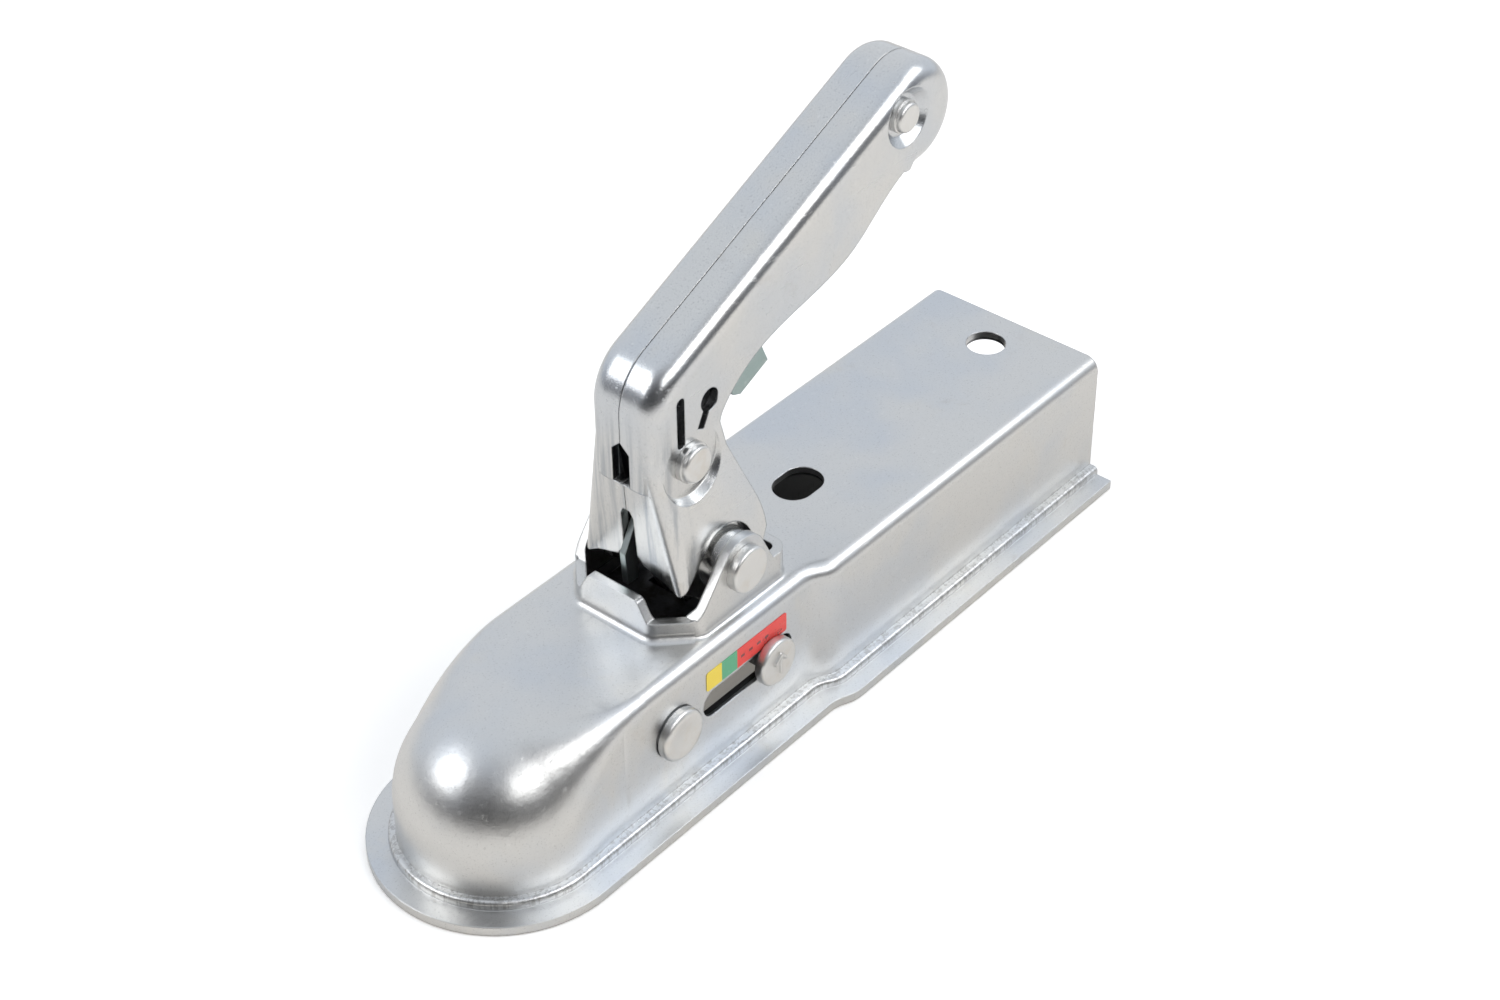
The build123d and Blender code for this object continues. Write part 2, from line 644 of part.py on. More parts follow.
def handle_half():
    """The near half of the handle, on the -Y side of the seam."""
    inside_y = ARM_HALF_W - SHEET
    with BuildPart() as lower:
        add(flare_form(0))
        with BuildSketch(side_plane(0)):
            add(cheek_profile())
        extrude(amount=WIDE, mode=Mode.INTERSECT)
        with BuildSketch(side_plane(-STEP_Y)):
            add(step_profile(0))
        extrude(amount=WIDE, mode=Mode.SUBTRACT)
    with BuildPart() as hollow:
        add(flare_form(SHEET))
        with BuildSketch(side_plane(SHEET - STEP_Y)):
            add(step_profile(SHEET))
        extrude(amount=WIDE, mode=Mode.SUBTRACT)
        add(bore(CATCH_X, CATCH_Z, CATCH_PANEL_R + SHEET, -inside_y, -WIDE), mode=Mode.SUBTRACT)
        with BuildSketch(side_plane(0)):
            make_face(arm_outline(SHEET))
        extrude(amount=inside_y)
    panel_plane = Plane((CATCH_X, -ARM_HALF_W, CATCH_Z), x_dir=(1, 0, 0), z_dir=(0, -1, 0))
    panel_mouth = CATCH_PANEL_R + FLARE_HALF_W * CATCH_PANEL_SLOPE
    dish_plane = Plane((TIP_RIVET_X, -ARM_HALF_W, TIP_RIVET_Z), x_dir=(1, 0, 0), z_dir=(0, -1, 0))
    with BuildPart() as dish:
        with BuildSketch(dish_plane):
            Circle(DIMPLE_R)
        with BuildSketch(dish_plane.offset(-DIMPLE_DEPTH)):
            Circle(DIMPLE_FLOOR_R)
        loft()
    with BuildPart() as half:
        with BuildSketch(side_plane(0)):
            make_face(arm_outline(0))
        extrude(amount=ARM_HALF_W)
        outer_edges = half.edges().group_by(Axis.Y)[0]
        fillet([e for e in outer_edges if on_back(e)], radius=ARM_EDGE_R)
        add(lower.part)
        # rounded flat panel round the catch rivet, set in from the flared cheek
        add(Solid.make_cone(CATCH_PANEL_R, panel_mouth, FLARE_HALF_W, panel_plane), mode=Mode.SUBTRACT)
        add(hollow.part, mode=Mode.SUBTRACT)
        # bearing boss beside the ear, and the dished seat of the tip rivet
        add(bore(PIVOT_X, PIVOT_Z, BOSS_R, SHEET - STEP_Y, BOSS_GAP - EAR_IN_Y))
        add(bore(TIP_RIVET_X, TIP_RIVET_Z, DIMPLE_R, DIMPLE_DEPTH - inside_y, -inside_y))
        add(dish.part, mode=Mode.SUBTRACT)
        # bores
        add(bore(PIVOT_X, PIVOT_Z, PIVOT_PIN_R + RUN_CLEAR, 0, -WIDE), mode=Mode.SUBTRACT)
        add(bore(CATCH_X, CATCH_Z, CATCH_RIVET_R, 0, -WIDE), mode=Mode.SUBTRACT)
        add(bore(TIP_RIVET_X, TIP_RIVET_Z, TIP_RIVET_R, 0, -WIDE), mode=Mode.SUBTRACT)
        # keyhole and upright slot in the side
        with BuildSketch(side_plane(-inside_y + SHEET)):
            with Locations((KEYHOLE_X, PIVOT_Z + KEYHOLE_UP)):
                Circle(KEYHOLE_R)
            with Locations(Location((KEYHOLE_X, PIVOT_Z + KEYHOLE_UP), KEYHOLE_ANGLE)):
                Rectangle(KEYHOLE_NECK, KEYHOLE_NECK_W, align=(Align.MIN, Align.CENTER))
            with Locations((SIDE_SLOT_X, PIVOT_Z + SIDE_SLOT_UP)):
                SlotOverall(SIDE_SLOT_LEN, SIDE_SLOT_W, rotation=90)
        extrude(amount=WIDE, mode=Mode.SUBTRACT)
        # window in the seam, and the fork at the front
        window_top = PIVOT_Z + WINDOW_UP + WINDOW_H / 2
        window_low = window_top - WINDOW_H
        with BuildSketch(across(STEM_X - SHEET)):
            Polygon(
                (0, window_top + WINDOW_CUT),
                (-WINDOW_W, window_top - WINDOW_CUT),
                (-WINDOW_W, window_low),
                (0, window_low),
                align=None,
            )
            Polygon(
                (0, FORK_TOP_Z),
                (-FORK_NECK_Y / 2, FORK_TOP_Z),
                (-FORK_NECK_Y, FORK_TOP_Z - FORK_NECK_Y),
                (-FORK_NECK_Y, PIVOT_Z + FORK_NECK_UP),
                (-2 * FORK_NECK_Y, PIVOT_Z + FORK_NECK_Y),
                (-FORK_HEM_Y, PIVOT_Z),
                (-FLARE_HALF_W, FORK_TIP_Z),
                (-FLARE_HALF_W, FORK_TIP_Z - SHEET),
                (0, FORK_TIP_Z - SHEET),
                align=None,
            )
        extrude(amount=FLARE_FRONT_X - STEM_X + 2 * SHEET + FORK_CUT, mode=Mode.SUBTRACT)
        # the two halves stop just short of the seam
        with Locations((PIVOT_X, 0, ARM_Z)):
            Box(2 * WIDE, 2 * SEAM, 2 * WIDE, mode=Mode.SUBTRACT)
    return half.part


near_half = handle_half()
export_part(near_half, "handle_half_near")

with BuildPart() as handle_half_far:
    mirror(near_half, about=Plane.XZ)
export_part(handle_half_far.part, "handle_half_far")


def headed_pin(x, z, radius, grip_y, head_r, head_t, step=0.0):
    """Pin along Y with a flat, edge-rounded head outside each side, on a wider ring where a step is given."""
    with BuildPart() as pin:
        with BuildSketch(side_plane(grip_y)):
            with Locations((x, z)):
                Circle(radius)
        extrude(amount=2 * grip_y)
        for head_y in (-grip_y, grip_y + head_t):
            with BuildSketch(side_plane(head_y)):
                with Locations((x, z)):
                    Circle(head_r)
            extrude(amount=head_t)
        faces = pin.faces().filter_by(Axis.Y).sort_by(Axis.Y)
        fillet([faces[0].edge(), faces[-1].edge()], radius=head_t * HEAD_EDGE)
        if step:
            for ring_y in (-grip_y, grip_y + head_t / 2):
                with BuildSketch(side_plane(ring_y)):
                    with Locations((x, z)):
                        Circle(head_r + step)
                extrude(amount=head_t / 2)
    return pin.part


def tube(x, z, outer_r, inner_r, y_from, y_to):
    """Plain tube along Y between two values of Y, the first one the larger."""
    with BuildPart() as ring:
        with BuildSketch(side_plane(y_from)):
            with Locations((x, z)):
                Circle(outer_r)
                Circle(inner_r, mode=Mode.SUBTRACT)
        extrude(amount=y_from - y_to)
    return ring.part


# Pins and rivets, each with a head at both ends
pivot_pin = headed_pin(PIVOT_X, PIVOT_Z, PIVOT_PIN_R, EAR_OUT_Y, PIVOT_HEAD_R, PIVOT_HEAD_T)
export_part(pivot_pin, "pivot_pin")
jaw_pin = headed_pin(JAW_X, JAW_Z, JAW_PIN_R, FRONT_HALF_W, JAW_HEAD_R, JAW_HEAD_T)
export_part(jaw_pin, "jaw_pin")
indicator_pin = headed_pin(PIN_X, JAW_Z, PIN_R, FRONT_HALF_W + PIN_HEAD_GAP, PIN_HEAD_R, PIN_HEAD_T)
export_part(indicator_pin, "indicator_pin")
catch_rivet = headed_pin(CATCH_X, CATCH_Z, CATCH_RIVET_R, ARM_HALF_W, CATCH_HEAD_R, CATCH_HEAD_T, HEAD_STEP)
export_part(catch_rivet, "catch_rivet")
floor_y = ARM_HALF_W - DIMPLE_DEPTH
tip_rivet = headed_pin(TIP_RIVET_X, TIP_RIVET_Z, TIP_RIVET_R, floor_y, TIP_HEAD_R, TIP_HEAD_T, HEAD_STEP)
export_part(tip_rivet, "tip_rivet")

# Spacer tubes on the pins
spacer_y = floor_y - SHEET
tip_spacer = tube(TIP_RIVET_X, TIP_RIVET_Z, TIP_SPACER_R, TIP_RIVET_R, spacer_y, -spacer_y)
export_part(tip_spacer, "tip_spacer")
lobe_y = STEP_Y - SHEET
wall_y = FRONT_HALF_W - SHEET
jaw_side_y = JAW_HALF_W + SIDE_GAP
bearing_r = PIVOT_PIN_R + RUN_CLEAR
for suffix, side in (("near", -1), ("far", 1)):
    pivot_ends = sorted((side * DRIVE_OUT_Y, side * lobe_y))
    pivot_spacer = tube(PIVOT_X, PIVOT_Z, PIVOT_SPACER_R, bearing_r, pivot_ends[1], pivot_ends[0])
    export_part(pivot_spacer, "pivot_spacer_" + suffix)
    jaw_ends = sorted((side * jaw_side_y, side * wall_y))
    jaw_spacer = tube(JAW_X, JAW_Z, JAW_HUB_R, JAW_PIN_R, jaw_ends[1], jaw_ends[0])
    export_part(jaw_spacer, "jaw_spacer_" + suffix)


def drive_plate(y_top):
    """Lever plate from the catch rivet over the pivot down to the fork that pushes the indicator pin."""
    slot_w = PIN_R + DRIVE_SLOT_GAP
    toe_w = slot_w + DRIVE_PRONG_W
    toe_z = JAW_Z - DRIVE_TOE_DROP
    with BuildPart() as plate:
        with BuildSketch(side_plane(y_top)):
            with Locations((CATCH_X, CATCH_Z)):
                Circle(DRIVE_HEAD_R)
            with Locations((PIVOT_X, PIVOT_Z)):
                Circle(DRIVE_HUB_R)
            Polygon(
                (CATCH_X - DRIVE_HEAD_R, CATCH_Z),
                (CATCH_X + DRIVE_HEAD_R, CATCH_Z),
                (PIVOT_X + DRIVE_HUB_R, PIVOT_Z + DRIVE_HUB_R / 2),
                (PIVOT_X + DRIVE_HUB_R, PIVOT_Z - DRIVE_HUB_R / 2),
                (PIN_X + slot_w, JAW_Z + slot_w + 2 * DRIVE_PRONG_W),
                (PIN_X + toe_w, JAW_Z + slot_w),
                (PIN_X + toe_w, toe_z),
                (PIN_X - slot_w, toe_z),
                (PIN_X - toe_w, toe_z + DRIVE_PRONG_W),
                (PIN_X - toe_w, SLIDER_TOP_Z - DRIVE_T),
                (PIVOT_X - DRIVE_HUB_R, PIVOT_Z - DRIVE_HUB_R / 2),
                (PIVOT_X - DRIVE_HUB_R, PIVOT_Z),
                align=None,
            )
            with Locations((PIN_X, JAW_Z)):
                Circle(slot_w, mode=Mode.SUBTRACT)
                Rectangle(
                    2 * slot_w,
                    2 * DRIVE_TOE_DROP,
                    align=(Align.CENTER, Align.MAX),
                    mode=Mode.SUBTRACT,
                )
            with Locations((PIVOT_X, PIVOT_Z)):
                Circle(PIVOT_PIN_R + RUN_CLEAR, mode=Mode.SUBTRACT)
            with Locations((CATCH_X, CATCH_Z)):
                Circle(CATCH_RIVET_R, mode=Mode.SUBTRACT)
        extrude(amount=DRIVE_T)
    return plate.part


export_part(drive_plate(-DRIVE_IN_Y), "drive_plate_near")
export_part(drive_plate(DRIVE_OUT_Y), "drive_plate_far")

# Safety catch: a leg plate that hangs inside the stem, and the finger trigger on its arm
with BuildPart() as catch_plate:
    hub = (CATCH_X, CATCH_Z)
    knee_z = FORK_TOP_Z - CATCH_KNEE_DROP
    neck_z = PIVOT_Z + FORK_NECK_UP
    foot_z = PIVOT_Z - CATCH_FOOT_DOWN
    with BuildSketch(side_plane(CATCH_PLATE_Y + CATCH_PLATE_T)):
        with Locations(hub):
            Circle(CATCH_HUB_R)
        Polygon(
            (CATCH_X - CATCH_HUB_R, CATCH_Z),
            (CATCH_KNEE_X + CATCH_KNEE_RUN, knee_z),
            (CATCH_KNEE_X, neck_z),
            (CATCH_KNEE_X + CATCH_TOE_BACK, foot_z),
            (CATCH_KNEE_X + CATCH_LEG_W, foot_z),
            (CATCH_KNEE_X + CATCH_LEG_W, neck_z),
            (CATCH_KNEE_X + CATCH_LEG_W + CATCH_KNEE_RUN, knee_z),
            around(hub, CATCH_HUB_R, -CATCH_HUB_TURN),
            (CATCH_X + CATCH_HUB_R, CATCH_Z),
            arm_point(TRIGGER_S - TRIGGER_LEN / 2, TRIGGER_TOP + CATCH_ARM_W),
            arm_point(TRIGGER_S - TRIGGER_T, TRIGGER_TOP + CATCH_ARM_W),
            arm_point(TRIGGER_S - TRIGGER_T, TRIGGER_TOP),
            arm_point(TRIGGER_S - TRIGGER_LEN, TRIGGER_TOP),
            (CATCH_X, CATCH_Z + CATCH_HUB_R),
            align=None,
        )
        with Locations(hub):
            Circle(CATCH_RIVET_R + RUN_CLEAR, mode=Mode.SUBTRACT)
    extrude(amount=CATCH_PLATE_T)
export_part(catch_plate.part, "catch_plate")

with BuildPart() as catch_trigger:
    with BuildSketch(side_plane(TRIGGER_OUT_Y)):
        Polygon(
            arm_point(TRIGGER_S, TRIGGER_TOP),
            arm_point(TRIGGER_S, TRIGGER_LOW),
            arm_point(TRIGGER_S - TRIGGER_LEN + TRIGGER_T, TRIGGER_LOW),
            arm_point(TRIGGER_S - TRIGGER_LEN, TRIGGER_LOW - TRIGGER_T),
            arm_point(TRIGGER_S - TRIGGER_LEN, TRIGGER_TOP),
            align=None,
        )
    extrude(amount=2 * TRIGGER_OUT_Y)
    with BuildSketch(side_plane(TRIGGER_OUT_Y - TRIGGER_T)):
        Polygon(
            arm_point(TRIGGER_S - TRIGGER_T, TRIGGER_TOP - TRIGGER_T),
            arm_point(TRIGGER_S - TRIGGER_T, TRIGGER_LOW + TRIGGER_T),
            arm_point(TRIGGER_S - TRIGGER_LEN - TRIGGER_T, TRIGGER_LOW + TRIGGER_T),
            arm_point(TRIGGER_S - TRIGGER_LEN - TRIGGER_T, TRIGGER_TOP - TRIGGER_T),
            align=None,
        )
    extrude(amount=2 * (TRIGGER_OUT_Y - TRIGGER_T), mode=Mode.SUBTRACT)
export_part(catch_trigger.part, "catch_trigger")


def coil(start, direction, turns, mean_r, wire_r, length):
    """Round-wire coil along a direction, its wire's outside filling the given length."""
    rise = length - 2 * wire_r
    begin = start + direction * wire_r
    with BuildPart() as spring:
        with BuildLine() as path:
            Helix(pitch=rise / turns, height=rise, radius=mean_r, center=begin, direction=direction)
        with BuildSketch(Plane(path.line @ 0, z_dir=path.line % 0)):
            Circle(wire_r)
        sweep(path=path.line)
    return spring.part


slider_rear_x = PIN_X + SLIDER_REAR
main_spring = coil(
    Vector(slider_rear_x, 0, JAW_Z),
    Vector(1, 0, 0),
    SPRING_TURNS,
    SPRING_MEAN_R,
    SPRING_WIRE_R,
    SEAT_X - slider_rear_x,
)
export_part(main_spring, "main_spring")
catch_spring = coil(
    Vector(CATCH_X, -DRIVE_IN_Y, CATCH_Z),
    Vector(0, 1, 0),
    CATCH_SPRING_TURNS,
    CATCH_SPRING_R,
    CATCH_WIRE_R,
    DRIVE_IN_Y + CATCH_PLATE_Y - SIDE_GAP,
)
export_part(catch_spring, "catch_spring")

# Locking slider: wedge tongue in front, two cheeks on the indicator pin, rear wall for the spring
with BuildPart() as lock_slider:
    slider_low_z = JAW_Z - SLIDER_DROP
    with BuildSketch(side_plane(SLIDER_HALF_W)):
        Polygon(
            (PIN_X - SLIDER_NOSE, SLIDER_TOP_Z - WEDGE_NOSE_T),
            (PIN_X - SLIDER_NOSE, SLIDER_TOP_Z),
            (slider_rear_x, SLIDER_TOP_Z),
            (slider_rear_x, slider_low_z),
            (PIN_X - SLIDER_CHEEK, slider_low_z),
            (PIN_X - SLIDER_CHEEK, SLIDER_TOP_Z - RAIL_T),
            (PIN_X - SLIDER_ROOT, SLIDER_TOP_Z - WEDGE_ROOT_T),
            align=None,
        )
    extrude(amount=2 * SLIDER_HALF_W)
    front_edges = lock_slider.edges().filter_by(Axis.Z).group_by(Axis.X)[0]
    chamfer(front_edges, length=SLIDER_CORNER)
    pocket_front = PIN_X - SLIDER_ROOT
    pocket_rear = slider_rear_x - SLIDER_REAR_WALL
    rear_wall_z = JAW_Z + SPRING_MEAN_R + SPRING_WIRE_R + SPRING_SIDE_GAP
    with BuildSketch(side_plane(SLIDER_POCKET_Y)):
        Polygon(
            (pocket_front, slider_low_z - SHEET),
            (pocket_front, BODY_H),
            (SEAT_X, BODY_H),
            (SEAT_X, rear_wall_z),
            (pocket_rear, rear_wall_z),
            (pocket_rear, slider_low_z - SHEET),
            align=None,
        )
    extrude(amount=2 * SLIDER_POCKET_Y, mode=Mode.SUBTRACT)
    add(across_bore(PIN_X, JAW_Z, PIN_R), mode=Mode.SUBTRACT)
export_part(lock_slider.part, "lock_slider")

# Spring seat: an angle bracket under the roof, with a short boss inside the spring
with BuildPart() as spring_seat:
    seat_low_z = JAW_Z - SEAT_DROP
    with BuildSketch(side_plane(SEAT_HALF_W)):
        Polygon(
            (SEAT_X, seat_low_z),
            (SEAT_X, ROOF_Z - SEAT_T),
            (SEAT_X - SEAT_FLANGE, ROOF_Z - SEAT_T),
            (SEAT_X - SEAT_FLANGE, ROOF_Z),
            (SEAT_X + SEAT_T, ROOF_Z),
            (SEAT_X + SEAT_T, seat_low_z),
            align=None,
        )
    extrude(amount=2 * SEAT_HALF_W)
    with BuildSketch(Plane((SEAT_X, 0, JAW_Z), x_dir=(0, 1, 0), z_dir=(-1, 0, 0))):
        Circle(SPRING_MEAN_R - SPRING_WIRE_R - SEAT_BOSS_GAP)
    extrude(amount=SEAT_BOSS_LEN)
export_part(spring_seat.part, "spring_seat")


def open_jaw_point(x, z):
    """Point of the jaw given in its place on the ball, swung back about the jaw pin to the open place."""
    return turned((x, z), (JAW_X, JAW_Z), JAW_OPEN_ANGLE)


# Jaw: hub on the jaw pin, ball pocket in front, heel that the wedge holds down
with BuildPart() as jaw:
    jaw_hub = (JAW_X, JAW_Z)
    with BuildSketch(side_plane(JAW_HALF_W)):
        with Locations(jaw_hub):
            Circle(JAW_HUB_R)
        Polygon(
            open_jaw_point(JAW_FRONT_X, JAW_LIP_Z),
            open_jaw_point(JAW_X - JAW_LIP_REACH, JAW_LIP_Z),
            open_jaw_point(*around(jaw_hub, JAW_HUB_R, JAW_NECK_ANGLE)),
            open_jaw_point(*around(jaw_hub, JAW_HUB_R, JAW_BACK_ANGLE)),
            open_jaw_point(JAW_X - JAW_CROWN_REACH, JAW_TOP_Z),
            open_jaw_point(JAW_FRONT_X, JAW_TOP_Z),
            align=None,
        )
    extrude(amount=2 * JAW_HALF_W)
    with BuildSketch(side_plane(HEEL_HALF_W)):
        with Locations(around(jaw_hub, HEEL_REACH, HEEL_ANGLE)):
            Circle(HEEL_R)
    extrude(amount=2 * HEEL_HALF_W)
    ball_spot = open_jaw_point(0, BALL_Z)
    with Locations((ball_spot[0], 0, ball_spot[1])):
        Sphere(JAW_POCKET_R, mode=Mode.SUBTRACT)
    add(across_bore(JAW_X, JAW_Z, JAW_PIN_R + RUN_CLEAR), mode=Mode.SUBTRACT)
export_part(jaw.part, "jaw")

# Printed indicator label, stuck on the near wall above the slot
with BuildPart() as indicator_label:
    label_z = JAW_Z + SLOT_H / 2 + LABEL_GAP
    with BuildSketch(side_plane(-FRONT_HALF_W)):
        with Locations((LABEL_X + LABEL_LEN / 2, label_z + LABEL_H / 2)):
            RectangleRounded(LABEL_LEN, LABEL_H, LABEL_CORNER)
    extrude(amount=LABEL_T)
export_part(indicator_label.part, "indicator_label")
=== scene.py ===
"""Looks of the trailer coupling head.

Zinc-plated pressed steel with cloudy tints and painted glint specks, plated pins with rolled heads, dark
greased inner works whose near-black also paints the shade inside, painted shade in the channel and behind the
keyhole, and a printed label, on a pale floor under soft lamps.
"""

import logging
import math
from dataclasses import dataclass
from enum import Enum
from typing import Any

import bmesh
import bpy
import numpy as np
from mathutils import Matrix, Vector

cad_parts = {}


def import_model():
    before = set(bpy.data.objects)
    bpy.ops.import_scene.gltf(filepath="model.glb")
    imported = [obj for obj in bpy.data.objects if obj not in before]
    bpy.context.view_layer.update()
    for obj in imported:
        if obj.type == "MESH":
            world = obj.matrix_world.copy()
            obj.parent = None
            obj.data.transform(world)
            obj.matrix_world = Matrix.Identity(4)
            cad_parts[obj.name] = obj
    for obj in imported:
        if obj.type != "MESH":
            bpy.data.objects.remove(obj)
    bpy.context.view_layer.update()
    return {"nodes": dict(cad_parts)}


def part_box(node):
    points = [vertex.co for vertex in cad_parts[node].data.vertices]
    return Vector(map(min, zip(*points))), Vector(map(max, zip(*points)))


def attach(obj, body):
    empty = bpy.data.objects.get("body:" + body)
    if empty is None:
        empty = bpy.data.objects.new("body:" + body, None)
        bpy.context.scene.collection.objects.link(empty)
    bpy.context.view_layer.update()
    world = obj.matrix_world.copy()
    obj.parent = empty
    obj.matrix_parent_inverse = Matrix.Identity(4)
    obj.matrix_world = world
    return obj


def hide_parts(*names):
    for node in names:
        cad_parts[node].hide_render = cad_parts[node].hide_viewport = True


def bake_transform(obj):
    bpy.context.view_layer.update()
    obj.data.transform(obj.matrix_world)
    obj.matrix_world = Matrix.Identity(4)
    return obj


LOG = logging.getLogger("coupling_head")
MM = 0.001  # one millimetre in metres
PER_METRE = 1000.0  # millimetres in a metre
WELD = 1e-6  # lengths under this count as nothing
QUARTER_TURN = math.pi / 2
FULL_TURN = 2 * math.pi

Colour = tuple[float, float, float]
Place = tuple[float, float, float]
Socket = bpy.types.NodeSocket
Material = bpy.types.Material


class Part(Enum):
    """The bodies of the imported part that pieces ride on."""

    HOUSING = "housing"
    HANDLE = "handle"
    SLIDER = "slider"


# ---------------------------------------------------------------- shader maths


class Val:
    """A shader number that Python's operators work on, adding one Math node for each operation."""

    def __init__(self, nodes: "Nodes", socket: Socket) -> None:
        """Wrap a socket.

        Args:
            nodes: the tree that new nodes go into.
            socket: the output socket that holds the number.
        """
        self.nodes = nodes
        self.socket = socket

    def _math(self, operation: str, *others: Any) -> "Val":
        """Add a Math node on this value and others and return its result."""
        return self.nodes.number("ShaderNodeMath", {"operation": operation}, dict(enumerate((self, *others))))

    def __add__(self, other: Any) -> "Val":
        """Sum."""
        return self._math("ADD", other)

    __radd__ = __add__

    def __mul__(self, other: Any) -> "Val":
        """Product."""
        return self._math("MULTIPLY", other)

    __rmul__ = __mul__

    def __sub__(self, other: Any) -> "Val":
        """Difference."""
        return self._math("SUBTRACT", other)

    def __rsub__(self, other: float) -> "Val":
        """Difference with a plain number on the left."""
        return self.nodes.number("ShaderNodeMath", {"operation": "SUBTRACT"}, {0: other, 1: self})

    def above(self, edge: float) -> "Val":
        """1 where the value is over an edge, else 0."""
        return self._math("GREATER_THAN", edge)

    def below(self, edge: float) -> "Val":
        """1 where the value is under an edge, else 0."""
        return self._math("LESS_THAN", edge)

    def size(self) -> "Val":
        """The value without its sign."""
        return self._math("ABSOLUTE")

    def ramp(self, low: float, high: float, out_low: float = 0.0, out_high: float = 1.0) -> "Val":
        """Smooth step from out_low at low to out_high at high, flat outside."""
        return self.nodes.number(
            "ShaderNodeMapRange",
            {"interpolation_type": "SMOOTHSTEP"},
            {0: self, 1: low, 2: high, 3: out_low, 4: out_high},
        )


@dataclass(frozen=True)
class Noise:
    """Smooth noise from 0 to 1: cells per metre, detail, roughness, and the scale of its coordinates."""

    scale: float
    detail: float
    rough: float
    stretch: tuple[float, float, float] | None = None


class Nodes:
    """A node tree that starts empty, with one method that adds any node."""

    def __init__(self, tree: bpy.types.NodeTree) -> None:
        """Empty a tree.

        Args:
            tree: the tree of a material or of the world.
        """
        self.tree = tree
        self.tree.nodes.clear()

    def node(self, kind: str, settings: dict | None = None, inputs: dict | None = None) -> bpy.types.Node:
        """Add a node.

        Args:
            kind: the node's type name.
            settings: attributes set first; the key stops gives a ramp's (position, colour) pairs.
            inputs: values or links of its sockets, by name or number.

        Returns:
            The new node.
        """
        made = self.tree.nodes.new(kind)
        for key, value in (settings or {}).items():
            if key == "stops":
                self.set_stops(made.color_ramp, value)
            else:
                setattr(made, key, value)
        for key, value in (inputs or {}).items():
            self.feed(made.inputs[key], value)
        return made

    @staticmethod
    def set_stops(ramp: bpy.types.ColorRamp, stops: tuple[tuple[float, Colour], ...]) -> None:
        """Give a colour ramp these stops, of which there are two or more."""
        while len(ramp.elements) < len(stops):
            ramp.elements.new(0.5)
        for element, (position, colour) in zip(ramp.elements, stops):
            element.position = position
            element.color = (*colour, 1.0)

    def feed(self, socket: Socket, value: Any) -> None:
        """Link a value's socket to an input, or set the input to a plain value."""
        if isinstance(value, Val):
            self.tree.links.new(value.socket, socket)
        elif isinstance(value, bpy.types.NodeSocket):
            self.tree.links.new(value, socket)
        else:
            socket.default_value = value

    def number(self, kind: str, settings: dict | None, inputs: dict) -> Val:
        """Add a node and wrap its first output as a number."""
        return Val(self, self.node(kind, settings, inputs).outputs[0])

    def blend(self, amount: Any, first: Any, second: Any) -> Socket:
        """Mix two colours, the amount being how much of the second shows.

        Args:
            amount: a value, a link or a plain number.
            first: a link, or a plain colour without its alpha.
            second: the same.

        Returns:
            The mixed colour's socket.
        """
        first, second = ((*tone, 1.0) if isinstance(tone, tuple) else tone for tone in (first, second))
        mixed = self.node("ShaderNodeMix", {"data_type": "RGBA"}, {0: amount, 6: first, 7: second})
        return mixed.outputs[2]


class Graph(Nodes):
    """Node graph of one material, with its Principled shader and its Object coordinates."""

    def __init__(self, name: str) -> None:
        """Make a material with an empty Principled shader.

        Args:
            name: the material's name.
        """
        self.material = bpy.data.materials.new(name)
        self.material.use_nodes = True
        super().__init__(self.material.node_tree)
        self.shader = self.node("ShaderNodeBsdfPrincipled")
        self.node("ShaderNodeOutputMaterial", None, {0: self.shader.outputs[0]})
        self.place = self.node("ShaderNodeTexCoord").outputs["Object"]

    def noise(self, kind: Noise) -> Val:
        """Smooth noise on the Object coordinates, which are scaled along each axis where it says so."""
        along = self.place
        if kind.stretch is not None:
            scaled = {0: along, 3: kind.stretch}
            along = self.node("ShaderNodeMapping", {"vector_type": "POINT"}, scaled).outputs[0]
        return self.number(
            "ShaderNodeTexNoise",
            {"noise_dimensions": "3D"},
            {"Vector": along, "Scale": kind.scale, "Detail": kind.detail, "Roughness": kind.rough},
        )

    def axis(self, letter: str) -> Val:
        """One of the Object coordinates in millimetres."""
        parts = self.node("ShaderNodeSeparateXYZ", None, {0: self.place})
        return Val(self, parts.outputs[letter]) * PER_METRE

    def layered(self, colour: Any, *layers: tuple[Val, float, Colour]) -> Socket:
        """Lay tones over a colour, one after the other.

        Args:
            colour: the colour underneath.
            layers: each tone's mask from 0 to 1, the most that it covers, and the tone itself.

        Returns:
            The colour on top.
        """
        for mask, cover, tone in layers:
            colour = self.blend(mask * cover, colour, tone)
        return colour

    def rounded(self, radius_mm: float) -> Socket:
        """Surface normal as if edges were rounded by this radius."""
        return self.node("ShaderNodeBevel", {"samples": 6}, {0: radius_mm * MM}).outputs[0]

    def bump(self, height: Val, depth_mm: float, normal: Socket) -> Socket:
        """Normal of a surface raised by a height field.

        Args:
            height: field from 0 to 1.
            depth_mm: how far 1 stands above 0.
            normal: the normal to start from.

        Returns:
            The bent normal's socket.
        """
        inputs = {"Strength": 1.0, "Distance": depth_mm * MM, "Height": height, "Normal": normal}
        return self.node("ShaderNodeBump", None, inputs).outputs[0]

    def surface(self, **inputs: Any) -> Material:
        """Set the Principled shader's sockets, underscores standing for spaces, and return the material."""
        for key, value in inputs.items():
            self.feed(self.shader.inputs[key.replace("_", " ")], value)
        return self.material


# -------------------------------------------------------------------- finishes


@dataclass
class Coat:
    """The colour, roughness and normal of a sheet's finish while marks are laid over it."""

    graph: Graph
    colour: Socket
    rough: Val
    normal: Socket


